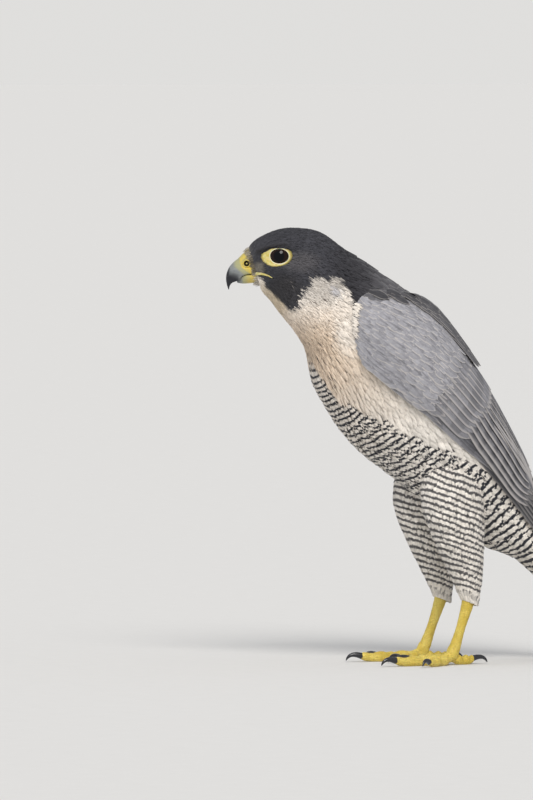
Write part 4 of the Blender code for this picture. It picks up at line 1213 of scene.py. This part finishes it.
def bristles(material):
    """Stiff hair-like feathers on lores and forehead, which reach forward over the cere."""
    coat = Coat("bristles", THIN, 5)
    share = np.linspace(0, 1, coat.rows)
    places, angles, pale, reach = [], [], [], []
    for count, at_range, angle_range, colour, long in BRISTLES:
        for side, _ in SIDES:
            places.append(RANDOM.uniform(*at_range, count))
            angles.append(side * RANDOM.uniform(*angle_range, count))
            pale.append(np.array(colour) * RANDOM.uniform(0.6, 1.25, count)[:, None])
            reach.append(RANDOM.uniform(0.6, 1.1, count) * long)
    at, angle = np.concatenate(places), np.concatenate(angles)
    pale, reach = np.concatenate(pale), np.concatenate(reach)
    root, along, outward = body_frame(at, angle, -0.3)
    ahead = turned_way((1.0, 0.0, -0.55))
    way = unit(-unit(along) * 0.55 + ahead * 0.75 + 0.16 * RANDOM.normal(0, 1, root.shape))
    lean = 0.25 * (1 - share**1.5)
    path = root[:, None] + reach[:, None, None] * share[:, None] * way[:, None]
    path = path + (reach[:, None] * share * (0.10 + lean))[..., None] * outward[:, None]
    half = np.full((len(at), coat.rows), 0.14) * np.linspace(1.0, 0.35, coat.rows)
    home = body_home(at, angle % (2 * math.pi))
    facing = np.broadcast_to(outward[:, None], path.shape)
    coat.add(path, facing, half, np.full(half.shape, 0.08), pale, (0.0, 0.0, 0.0), home)
    finish_coat(coat, material)


def finish_coat(coat, material, patch=0.003):
    """Makes the piece; patch is how much of the map one of its vanes takes."""
    made = coat.build(material, patch)
    return made


def thigh_coat(side, word, material):
    """Barred feathers down a thigh."""
    coat = Coat(word + "_thigh_coat", THIN, 5)
    places, angles = [], []
    for row, at in enumerate(np.linspace(0.5, 4.95, 46)):
        count = round(2 * math.pi * float(through(THIGH_SECTIONS, at)[3:].mean()) / 2.1)
        angles.append(staggered(count, row, 0.2) * 2 * math.pi)
        places.append(np.full(count, at) + RANDOM.uniform(-0.03, 0.03, count))
    at, angle = np.concatenate(places), np.concatenate(angles)
    count = len(at)
    share = np.linspace(0, 1, coat.rows)
    _, along, _ = thigh_frame(at, angle, side, -THIGH_COAT_DEPTH)
    reach = RANDOM.uniform(9.0, 12.5, count) / np.linalg.norm(along, axis=1)
    places = at[:, None] + reach[:, None] * share
    raised = THIGH_COAT_DEPTH * RANDOM.uniform(0.75, 1.0, count)
    lifted = 0.3 * RANDOM.normal(0, 1, count)
    grow = -THIGH_COAT_DEPTH + raised[:, None] * smooth(0, 0.5, share) + lifted[:, None] * share**2
    sway = RANDOM.normal(0, 0.10, count)[:, None] * share
    shown = np.minimum(places, THIGH_SHOWS_TO)
    path, _, outward = thigh_frame(shown, angle[:, None] + sway, side, grow)
    half = RANDOM.uniform(1.2, 1.7, count)[:, None] * vane_outline(coat.rows, 0.4, 1.6, 0.5)
    tint = np.array(BELLY) * (1 + 0.08 * RANDOM.normal(0, 1, count))[:, None]
    marks = np.stack([0.9 * (1 - smooth(4.25, 4.75, at)), np.zeros(count), np.zeros(count)], -1)
    home = thigh_home(side, at, angle / (2 * math.pi) % 1.0)
    down = np.linspace(0, 5, 100)
    length = lengths(through(THIGH_SECTIONS, down)[:, :3]) / THIGH_BAR_PERIOD
    start = np.interp(at, down, length) + 0.35 * noise_at(path[:, 0], 12.0, 9.0)
    stripes = np.interp(np.minimum(places[:, -1], 5.2), down, length) - np.interp(at, down, length)
    coat.add(path, outward, half, np.full(half.shape, 0.22), tint, marks, home, stripes, start)
    finish_coat(coat, material)


def wing_face(at, across):
    """Torso points on the left wing's outer face: station, share from upper to lower edge."""
    upper, middle, lower = (through(row, at) for row in (WING_UPPER, WING_MIDDLE, WING_LOWER))
    share = np.asarray(across, float)[..., None]
    bend = upper - 2 * middle + lower
    return upper + (middle - upper) * 2 * share + bend * share * (2 * share - 1)


def wing_outward(at, across):
    """Which way the left wing's outer face looks, in torso axes."""
    step = 0.02
    along = wing_face(at + step, across) - wing_face(at - step, across)
    down = wing_face(at, across + step) - wing_face(at, across - step)
    return unit(np.cross(along, down))


def wing_point(at, across, depth):
    """Torso points this deep under the left wing's outer face."""
    at, across, depth = np.broadcast_arrays(*(np.asarray(v, float) for v in (at, across, depth)))
    return wing_face(at, across) - wing_outward(at, across) * depth[..., None]


def side_way(vectors, side):
    """Directions of the left side's torso axes as plan directions of either side."""
    return on_side(vectors, side) - on_side(np.zeros(3), side)


def build_wing_core(side, word, material):
    """The wing under its feathers."""
    rows = np.array(CORE_SECTIONS)
    fine = np.linspace(0, 1, 20)
    bulge = np.sqrt(np.sin(np.linspace(0.04, math.pi - 0.04, 20)))
    rings = []
    for row in through(rows, np.linspace(0, len(rows) - 1, 60)):
        at, sink, thick, edge = row
        across = edge + (1 - 2 * edge) * fine
        depth = sink + LOWER_EDGE_DROP * across
        outer, inner = wing_point(at, across, depth), wing_point(at, across, depth + thick * bulge)
        rings.append(on_side(np.concatenate([outer, inner[::-1]]), side))
    core = tube_mesh(word + "_wing_core", rings, material)
    tint = np.broadcast_to(np.array(COVERT) * 0.5, (len(core.data.vertices), 3))
    colour_values(core.data, "tint", tint)
    u, v = np.meshgrid(np.linspace(0.02, 0.98, 40), np.linspace(0.02, 0.98, 60))
    set_uv(core.data, "OFBake", np.stack([u, v], -1).reshape(-1, 2))
    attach(core, "root")
    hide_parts(word + "_wing")


def wing_vanes(coat, side, at, across, depth, width, camber, colour, marks, home, stripes, outline):
    """Vanes on the wing along rows of stations, shares across and depths."""
    path = on_side(wing_point(at, across, depth), side)
    outward = side_way(wing_outward(at, across), side)
    half = np.asarray(width)[:, None] / 2 * outline
    coat.add(path, outward, half, np.full(half.shape, camber), colour, marks, home, stripes)


def covert_field(side, coat):
    """The small coverts that clothe the front of the wing, in staggered rows."""
    at, row = 0.03, 0
    places, shares, sizes = [], [], []
    while at < 2.30:
        size = 5.0 + 2.2 * at / 2.3
        line = wing_face(np.full(60, at), np.linspace(0.0, 1.0, 60))
        length = lengths(line)
        count = max(4, round(length[-1] / (size * 0.88)))
        share = staggered(count, row, 0.15)
        shares.append(np.interp(np.clip(share, 0, 1) * length[-1], length, np.linspace(0, 1, 60)))
        places.append(np.full(count, at) + RANDOM.uniform(-0.02, 0.02, count))
        sizes.append(np.full(count, size))
        along = np.linalg.norm(wing_face(at + 0.05, 0.5) - wing_face(at, 0.5)) / 0.05
        at += 0.62 * size / along
        row += 1
    at, across, size = (np.concatenate(v) for v in (places, shares, sizes))
    upper = 1 - smooth(0.10, 0.20, across - 0.28 * (1 - smooth(0.0, 0.7, at)))
    count = len(at)
    tone = 1 + 0.07 * RANDOM.normal(0, 1, count)
    colour = blend(COVERT, MANTLE, upper) * tone[:, None]
    strength = np.full(count, 0.28) * RANDOM.uniform(0.3, 1.4, count)
    marks = np.stack([np.full(count, 0.08), strength * (1 - 0.6 * upper), 0.95 - 0.30 * upper], -1)
    lay_on_wing(side, coat, at, across, size * 2.4, size * 1.35, colour, marks, 0.0)


def lay_on_wing(side, coat, at, across, length, width, colour, marks, raised, outline=None):
    """Vanes over the wing's outer face from these places, tips towards the wing's tip."""
    count = len(at)
    share = np.linspace(0, 1, coat.rows)
    along = np.linalg.norm(wing_face(at + 0.05, across) - wing_face(at - 0.05, across), axis=1) / 0.1
    reach = length * RANDOM.uniform(0.9, 1.1, count) / np.maximum(along, 14.0)
    stations = at[:, None] + reach[:, None] * share
    spread = RANDOM.normal(0, 0.012, count)[:, None] * share
    shares = np.clip(across[:, None] + spread, 0.0, 1.02)
    lift = RANDOM.uniform(-0.15, 0.35, count)[:, None] * share + raised * smooth(0, 0.4, share)
    depth = LOWER_EDGE_DROP * np.maximum(shares, 0) + 1.1 * (1 - smooth(0, 0.4, share)) - lift
    home = np.stack([0.03 + 0.43 * across + (0.5 if side < 0 else 0.0), 0.03 + 0.9 * at / 3.4], -1)
    outline = vane_outline(coat.rows, 0.55, 2.4, 0.45) if outline is None else outline
    wing_vanes(coat, side, stations, shares, depth, width, 0.3, colour, marks, home, 1.6, outline)


def scapulars(side, coat):
    """The long shoulder feathers that lie over the upper edge of the wing."""
    places, shares, sizes = [], [], []
    for row, at in enumerate(np.linspace(0.0, 2.4, 15)):
        width = 0.12 + 0.20 * (1 - smooth(0.0, 0.7, at))
        lanes = np.linspace(0.0, width, 5)[row % 2::2]
        count = len(lanes)
        places.append(np.full(count, at) + RANDOM.uniform(-0.03, 0.03, count))
        shares.append(lanes + RANDOM.uniform(-0.01, 0.01, count))
        sizes.append(np.full(count, 6.5 + 5.0 * smooth(0.0, 2.2, at)))
    at, across, size = (np.concatenate(v) for v in (places, shares, sizes))
    count = len(at)
    colour = blend(NAPE, MANTLE, 0.35 + 0.65 * smooth(0.0, 1.0, at))
    colour = colour * (1 + 0.08 * RANDOM.normal(0, 1, count))[:, None]
    marks = np.broadcast_to((0.12, 0.30, 0.50), (count, 3))
    lay_on_wing(side, coat, at, across, size * 2.4, size * 1.3, colour, marks, 0.9)


def front_fringe(side, coat):
    """Pale down of the breast that curls over the front edge of the wing."""
    count = 90
    across = RANDOM.uniform(0.56, 0.86, count)
    at = RANDOM.uniform(-0.06, 0.03, count)
    tone = RANDOM.uniform(0.80, 1.12, count)
    colour = np.array(CREAM) * np.minimum(tone, 1.05)[:, None]
    marks = np.zeros((count, 3))
    size = RANDOM.uniform(3.5, 6.0, count)
    lay_on_wing(side, coat, at, across, size, RANDOM.uniform(0.6, 1.2, count), colour, marks, 0.5,
                vane_outline(coat.rows, 0.35, 1.4, 0.6))


def flight_feathers(side, coat):
    """The long feathers and their coverts, tier by tier, each tier in one overlapping row."""
    cell = 0
    along = np.linspace(0, 1, coat.rows)
    for tier, count, level, root, tip, width, last_root, last_tip, last_width in TIERS:
        share = (np.arange(count) / (count - 1))[:, None]
        roots = np.array(root) * (1 - share) + np.array(last_root) * share
        tips = np.array(tip) * (1 - share) + np.array(last_tip) * share
        widths = width * (1 - share[:, 0]) + last_width * share[:, 0]
        at = roots[:, :1] + (tips[:, :1] - roots[:, :1]) * along
        across = roots[:, 1:] + (tips[:, 1:] - roots[:, 1:]) * along
        depth = TIER_DROP * level + LOWER_EDGE_DROP * across + 1.2 * (1 - smooth(0, 0.3, along))
        depth = depth + 0.035 * np.arange(count)[::-1, None]
        pointed = tier in POINTED_TIERS
        outline = vane_outline(coat.rows, 0.62 if pointed else 0.74, 1.8 if pointed else 3.6, 0.5)
        grey, bars, edge, stripes = TIER_LOOKS.get(tier, COVERT_LOOK)
        tone = 1 + 0.06 * RANDOM.normal(0, 1, count)
        colour = blend(QUILL, COVERT, grey) * tone[:, None]
        cells = np.arange(cell, cell + count)
        home = 0.03 + 0.12 * np.stack([cells % 8, cells // 8], -1)
        cell += count
        wing_vanes(coat, side, at, across, depth, widths, 0.6, colour, (bars, 0.25, edge), home,
                   stripes, outline)


def build_wing(side, word, material, skin):
    """One folded wing: its core, flight feathers, coverts, scapulars and fringe."""
    build_wing_core(side, word, skin)
    flight = Coat(word + "_flight_feathers", QUILLED, 36)
    flight_feathers(side, flight)
    finish_coat(flight, material, patch=0.10)
    for name, section, rows, lay, slot in (
        ("lesser_coverts", QUILLED, 7, covert_field, "grey_feather"),
        ("scapulars", QUILLED, 10, scapulars, "grey_feather"),
        ("wing_fringe", THIN, 5, front_fringe, "pale_feather"),
    ):
        coat = Coat(f"{word}_{name}", section, rows)
        lay(side, coat)
        finish_coat(coat, material)


def build_tail(material):
    """Twelve tail feathers with dark bars, a darker band near the end and a pale tip."""
    coat = Coat("tail_feathers", QUILLED, 60)
    share = np.linspace(0, 1, coat.rows)
    end = np.clip((share - 0.91) / 0.09, 0, 1)
    outline = (0.55 + 0.45 * smooth(0, 0.5, share)) * np.sqrt(np.maximum(1 - end**2.4, 0.01))
    cell = 0
    for side, _ in SIDES:
        for k in range(TAIL_FEATHERS):
            sink = np.array((0.0, 0.0, RIGHT_TAIL_SINK if side < 0 else 0.0))
            root = np.array(TAIL_ROOT) + k * np.array(TAIL_ROOT_STEP) - sink
            tip = np.array(TAIL_TIP) + k * np.array(TAIL_TIP_STEP) - sink
            path = on_side(root + (tip - root) * share[:, None], side)[None]
            outward = np.broadcast_to(side_way(UP, side), path.shape)
            half = (TAIL_WIDTH / 2 * outline)[None]
            home = (0.05 + 0.15 * (cell % 6), 0.1 + 0.4 * (cell // 6))
            coat.add(path, outward, half, np.full(half.shape, 0.42), np.array(RUMP) * 0.62,
                     (0.75, 0.2, 0.5), home, 10.0)
            cell += 1
    made = finish_coat(coat, material, patch=0.13)
    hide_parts("tail")


def bill_rings(sections, count, points):
    """Rings of a bill half, smooth from its root to its tip."""
    rows = [(*ridge, *lip, wide, hollow) for ridge, lip, wide, hollow in sections]
    angle = circle(points)
    turn = np.minimum(angle, 2 * math.pi - angle)
    side = np.clip(turn / LIP_ANGLE, 0.0, 1.0)
    floor = np.clip((turn - LIP_ANGLE) / (math.pi - LIP_ANGLE), 0.0, 1.0)
    fall = (1 - np.cos(side * math.pi)) / 2
    across = np.sin(side * math.pi * 0.72) ** 0.9 * (1 - floor)
    across = np.where(angle <= math.pi, across, -across)
    rings = []
    for row in through(rows, np.linspace(0, len(rows) - 1, count)):
        ridge, lip, wide, hollow = row[:2], row[2:4], row[4], row[5]
        line = ridge + (lip - ridge) * (fall - hollow * np.sin(floor * math.pi / 2))[:, None]
        rings.append(np.stack([line[:, 0], across * wide, line[:, 1]], axis=-1))
    return np.array(rings)


def bill_tones(points, upper):
    """Shares of cere yellow, of grey horn over green, and of black, at unturned head points."""
    forward, up = points[:, 0], points[:, 2]
    wave = noise_at(points, 2.5) * 0.5
    if upper:
        border = np.interp(up, *zip(*CERE_BORDER))
        past = forward - border + wave
        cere = 1 - smooth(-0.6, 0.7, past)
        horn = smooth(0.8, 6.5, past + 0.1 * up)
        tip = smooth(-9.0, -17.0, up + 0.30 * (34 - forward) + 1.6 * wave) * smooth(28.0, 31.5, forward)
        tip = np.maximum(tip, smooth(36.0, 38.0, forward + wave * 0.4) * smooth(-5.0, -9.0, up))
    else:
        past = forward - 25.5 + wave
        cere = (1 - smooth(-4.5, 2.5, past)) * 0.9
        horn = smooth(0.0, 4.5, past)
        tip = smooth(28.0, 31.5, forward) * 0.5
    return np.stack([cere, horn, tip], axis=-1)


def bill_half(name, sections, material, upper):
    """One half of the bill; the upper one carries the cere and its nostrils."""
    rings = bill_rings(sections, 150 if upper else 70, 96 if upper else 48)
    if upper:
        rings = sink_nostrils(rings)
    made = tube_mesh(name, turned(rings), material)
    colour_values(made.data, "tone", bill_tones(rings.reshape(-1, 3), upper))
    return made


def sink_nostrils(rings):
    """Presses the holes of the nostrils into the cere."""
    for side, _ in SIDES:
        mouth = sided(NOSTRIL, side)
        off = np.hypot(rings[..., 0] - mouth[0], rings[..., 2] - mouth[2])
        deep = (1 - smooth(NOSTRIL_RIM - 0.9, NOSTRIL_RIM - 0.2, off)) * (rings[..., 1] * side > 2)
        rings[..., 1] -= side * 3.2 * deep
    return rings


def build_nostrils(material):
    """Round nostrils: a raised rim, a hole darkened with painted shade and a peg in the middle of it."""
    for side, word in SIDES:
        mouth = turned(sided(NOSTRIL, side))
        outward = unit(head_left(side) + 0.12 * turned_way((1.0, 0.0, 0.4)))
        across = unit(np.cross(outward, UP))
        around = wheel(circle(NOSTRIL_SIDES), across, np.cross(across, outward))
        for name, rows in NOSTRIL_PARTS.items():
            rings = [mouth + outward * out + radius * around for out, radius, _, _ in rows]
            made = tube_mesh(f"{word}_{name}", rings, material)
            # The dark share paints shade down the hole and at the foot of the peg, in the bill's black.
            tone = [(yellow, 0.3, dark) for _, _, yellow, dark in rows for _ in range(NOSTRIL_SIDES)]
            colour_values(made.data, "tone", tone)
            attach(made, "root")


def head_surface(grow):
    """The head's surface as a tree that rays can be cast at, in plan points."""
    at, angle = np.meshgrid(np.linspace(0, 5, 120), np.linspace(0, 2 * math.pi, 97)[:-1], indexing="ij")
    points = body_point(at, angle, grow).reshape(-1, 3)
    return BVHTree.FromPolygons([tuple(p) for p in points], ring_quads(120, 96).tolist())


def onto(tree, point, outward):
    """Where a line from outside to a point meets the surface."""
    start = np.asarray(point) + np.asarray(outward) * 60.0
    return np.array(tree.ray_cast(Vector(start), Vector(-np.asarray(outward)))[0])


def eye_circle(side):
    """The eye's centre, the way it looks, and angles round it with their directions."""
    centre, look, forward, up = eye_axes(side)
    turn = circle(EYE_SIDES)
    return centre, look, turn, wheel(turn, forward, up)


def build_eyeball(side, word, dark):
    """The part of the eyeball that shows, closed behind, with a slight bulge over the pupil."""
    centre, look, turn, ways = eye_circle(side)
    inner = ring_radii(turn)[0]
    rings, pupil = [], []
    for share in np.linspace(0.02, 1.0, 34):
        radius = share * (inner + 0.4)
        level = np.sqrt(EYE_RADIUS**2 - radius**2) + 0.25 * np.exp(-((radius / 4.2) ** 2))
        rings.append(centre + radius[:, None] * ways + level[:, None] * look)
        pupil.append(1 - smooth(3.6, 4.3, radius))
    for share, sink in ((0.92, 1.2), (0.6, 3.0)):
        rings.append(centre + (share * inner)[:, None] * ways + look * (EYE_RADIUS * 0.72 - sink))
        pupil.append(np.zeros(EYE_SIDES))
    ball = tube_mesh(word + "_eyeball", np.array(rings)[::-side], dark)
    point_values(ball.data, "pupil", "FLOAT", np.array(pupil)[::-side].ravel())
    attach(ball, "root")
    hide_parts(word + "_eye")


def build_eye_ring(side, word, tree, bare):
    """The bare ring that frames the eye and runs out to a point towards the bill."""
    centre, look, turn, ways = eye_circle(side)
    inner, outer = ring_radii(turn)
    share = np.linspace(0, 1, 18)
    rows, lids = [], []
    for k, way in enumerate(ways):
        level = math.sqrt(EYE_RADIUS**2 - inner[k] ** 2)
        edge = (onto(tree, centre + way * outer[k], look) - centre) @ look
        wide = outer[k] - inner[k]
        line = [centre + way * (inner[k] + 0.02) + look * (level - 0.5)]
        lid = [0.3]
        for s in share:
            off = s * wide
            crest = 0.30 * math.exp(-(((off - 0.45) / 0.4) ** 2))
            groove = -0.16 * math.exp(-(((off - 1.15) / 0.3) ** 2)) * min(1.0, wide / 2)
            fold = 0.10 * math.sin(2.6 * off + 1.6 * math.sin(3 * turn[k])) * smooth(1.2, 2.4, off)
            slope = level + 0.12 + (edge + 0.25 - level) * smooth(0.0, 1.0, s)
            line.append(centre + way * (inner[k] + off) + look * (slope + crest + groove + fold))
            # Below zero the lid value paints shade, growing towards the ring's outer edge.
            lid.append(1.0 - smooth(0.55, 1.05, off) - 0.8 * smooth(0.55, 1.0, s) * smooth(0.3, 1.0, s))
        line.append(centre + way * (outer[k] + 0.9) + look * (edge - 0.9))
        line.append(centre + way * (outer[k] + 0.3) + look * (edge - 2.4))
        line.append(centre + way * (inner[k] + 0.02) + look * (level - 2.4))
        rows.append(line)
        # The three rows that close the ring underneath get the full painted shade.
        lids.append(lid + [-1.0, -1.0, -1.0])
    rows = np.array(rows)
    count, across = rows.shape[:2]
    quads = ring_quads(count + 1, across) % (count * across)
    if side > 0:
        quads = quads[:, (0, 3, 2, 1)]
    ring = new_mesh(word + "_eye_ring", rows.reshape(-1, 3), quads, bare)
    point_values(ring.data, "lid", "FLOAT", np.array(lids).ravel())
    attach(ring, "root")


def build_gape(side, word, tree, bare):
    """The yellow edge of the mouth, from the bill back under the eye."""
    line = through(GAPE, np.linspace(0, len(GAPE) - 1, 40))
    middle = turned(np.stack([line[:, 0], np.zeros(len(line)), line[:, 1]], axis=-1))
    way = np.array([onto(tree, point, head_left(side)) for point in middle])
    taper = np.linspace(1.0, 0.22, len(way))
    for lip, step in (("upper", 0.55), ("lower", -0.45)):
        path = way + UP * step * taper[:, None] + head_left(side) * 0.35
        rings = rings_along(path, (0.85 if lip == "upper" else 0.60) * taper, 14)
        made = tube_mesh(f"{word}_{lip}_gape", rings, bare)
        point_values(made.data, "lid", "FLOAT", np.full(len(made.data.vertices), 0.5))
        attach(made, "root")


def build_face():
    """Bill, nostrils, eyes, their bare rings and the gape."""
    bare, dark, horn = bare_material(), eye_material(), bill_material()
    tree = head_surface(-0.5)
    upper = bill_half("upper_bill_and_cere", UPPER_BILL_SECTIONS, horn, True)
    lower = bill_half("lower_bill_half", LOWER_BILL_SECTIONS, horn, False)
    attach(upper, "root")
    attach(lower, "root")
    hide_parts("upper_bill", "cere")
    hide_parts("lower_bill")
    build_nostrils(horn)
    for side, word in SIDES:
        build_eyeball(side, word, dark)
        build_eye_ring(side, word, tree, bare)
        build_gape(side, word, tree, bare)


def build_leg(side, word, scaly, horn):
    """The bare shank, the toes with their pads and plates, and the claws."""
    line = through(sided(SHANK_LINE, side), np.linspace(0, 3, 50))
    radii = curve(SHANK_RADII, np.linspace(0, 3, 50))
    plates = 1 + 0.035 * np.abs(np.sin(np.linspace(0, 11 * math.pi, 50)))
    shank = tube_mesh(word + "_bare_shank", rings_along(line, radii * plates, 28), scaly)
    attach(shank, "root")
    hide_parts(word + "_shank")
    joint, top = sided(TOE_JOINT, side), sided(SHANK_LINE[-1], side)
    at = np.linspace(0, 2, 24)
    line = through([top + 2 * UP, (top + joint) / 2, joint - UP], at)
    knuckle = tube_mesh(word + "_knuckle", rings_along(line, curve(KNUCKLE_RADII, at), 28), scaly)
    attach(knuckle, "root")
    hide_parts(word + "_foot")
    for toe, heading, length, radius, claw_length in TOES:
        build_toe(side, word, toe, heading, length, radius, claw_length, scaly, horn)


def build_toe(side, word, toe, heading, length, radius, claw_length, scaly, horn):
    """One toe, flat below, with plates on top and pads underneath, and its claw."""
    angle = math.radians(heading)
    way = np.array((math.cos(angle), math.sin(angle) * side, 0.0))
    across = np.array((-math.sin(angle) * side, math.cos(angle), 0.0))
    joint = sided(TOE_JOINT, side)
    share = np.linspace(0.0, 1.0, 72)
    radii = radius * curve(TOE_BUMPS, share * (len(TOE_BUMPS) - 1))
    path = joint + way * length * share[:, None]
    level = FLOOR + radii - FLAT_DEPTH + TOE_END_LIFT * smooth(0.75, 1.0, share)
    path[:, 2] = level + (joint[2] - level[0]) * (1 - smooth(0.0, 0.35, share))
    around = circle(28)
    plates = 0.16 * np.abs(np.sin(share * length / 1.9 * math.pi / 1.6))[:, None]
    top = smooth(0.1, 0.7, np.sin(around))
    reach = radii[:, None] + plates * top - 0.12 * (1 - top) * np.cos(around * 9) ** 2
    end = np.sqrt(np.clip(1 - smooth(0.93, 1.0, share) * 0.55, 0.05, 1))
    reach = reach * end[:, None]
    rings = path[:, None] + reach[..., None] * wheel(around, across, UP)
    rings[..., 2] = np.maximum(rings[..., 2], FLOOR)
    made = tube_mesh(f"{word}_{toe}_toe", rings, scaly)
    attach(made, "root")
    build_claw(f"{word}_{toe}_claw", path[-1] - way * CLAW_SINK, way, claw_length, radius * 0.60, horn)


def build_claw(name, start, way, length, radius, horn):
    """A claw that curves down from its toe's end to just above the floor."""
    along = np.linspace(0.0, 1.0, 40)
    line = start + way * (length * 0.84 * np.sin(along * 1.35) / math.sin(1.35))[:, None]
    drop = start[2] - FLOOR - CLAW_TIP_CLEARANCE
    line[:, 2] = start[2] + 2.0 * np.sin(along * math.pi) - drop * along**1.6
    thick = radius * (1 - along) ** 0.7 + 0.16
    claw = tube_mesh(name + "_horn", rings_along(line, thick, 20), horn)
    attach(claw, "root")
    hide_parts(name)


def aim(made, back):
    """Adds a light or the camera, looking the other way than this."""
    made.rotation_euler = Vector(-back).to_track_quat("-Z", "Y").to_euler()
    bpy.context.scene.collection.objects.link(made)


def sun_light(name, round_by, elevation, spread, power, colour):
    """A soft light from far away, so that the floor is evenly lit; the angles are degrees."""
    lamp = bpy.data.lights.new(name, "SUN")
    lamp.angle, lamp.energy, lamp.color = math.radians(spread), power, colour
    made = bpy.data.objects.new(name, lamp)
    aim(made, way_to(CAMERA_AZIMUTH + math.radians(round_by), math.radians(elevation)))
    return made


def build_floor():
    """A plain pale floor."""
    n = Nodes("floor", Roughness=1.0, Specular_IOR_Level=0.0)
    grain = n.noise(n.place(), 60.0, 4.0)
    n.colour(n.mix(grain, *FLOOR_TONES))
    corners = [(x * FLOOR_HALF, y * FLOOR_HALF, FLOOR) for x, y in ((1, 1), (-1, 1), (-1, -1), (1, -1))]
    floor = new_mesh("floor", np.array(corners), [(0, 1, 2, 3)], n.material, round_off=False)
    floor.visible_glossy = False


def build_lights():
    """A soft key light beside the camera, a weak fill, and a pale surround that shines dimly."""
    sun_light("key", *KEY_LIGHT)
    fill = sun_light("fill", *FILL_LIGHT)
    fill.visible_glossy = False
    world = bpy.data.worlds.new("surround")
    world.use_nodes = True
    tree = world.node_tree
    seen = tree.nodes["Background"]
    seen.inputs[0].default_value = SURROUND_SEEN
    glow = tree.nodes.new("ShaderNodeBackground")
    glow.inputs[0].default_value = SURROUND_GLOW
    rays = tree.nodes.new("ShaderNodeLightPath")
    either = tree.nodes.new("ShaderNodeMixShader")
    tree.links.new(rays.outputs["Is Camera Ray"], either.inputs[0])
    tree.links.new(glow.outputs[0], either.inputs[1])
    tree.links.new(seen.outputs[0], either.inputs[2])
    tree.links.new(either.outputs[0], tree.nodes["World Output"].inputs[0])
    bpy.context.scene.world = world
    bpy.context.scene.view_settings.view_transform = "Standard"


def build_camera():
    """The camera, at the photo's angle and with the eye at its place in the picture."""
    back, right, up = camera_axes()
    centre, look, _, _ = eye_axes(1)
    eye = place(centre + look * EYE_RADIUS)
    point = POINT_MM * MM
    target = eye - right * (EYE_IN_PICTURE[0] - PICTURE[0] / 2) * point
    target = target - up * (PICTURE[1] / 2 - EYE_IN_PICTURE[1]) * point
    camera = bpy.data.objects.new("camera", bpy.data.cameras.new("camera"))
    camera.location = target + back * CAMERA_DISTANCE
    camera.data.sensor_width = SENSOR
    camera.data.lens = SENSOR * CAMERA_DISTANCE / (PICTURE[1] * point)
    camera.data.clip_end = 100.0
    aim(camera, back)
    bpy.context.scene.camera = camera


def main():
    """The whole bird and its stage."""
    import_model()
    vanes = feather_material()
    skin = skin_material()
    build_skin(skin)
    build_coat(vanes)
    for side, word in SIDES:
        build_wing(side, word, vanes, skin)
    build_tail(vanes)
    build_face()
    scaly, claw_horn = scaly_material(), claw_material()
    for side, word in SIDES:
        build_leg(side, word, scaly, claw_horn)
    build_floor()
    build_lights()
    build_camera()


main()
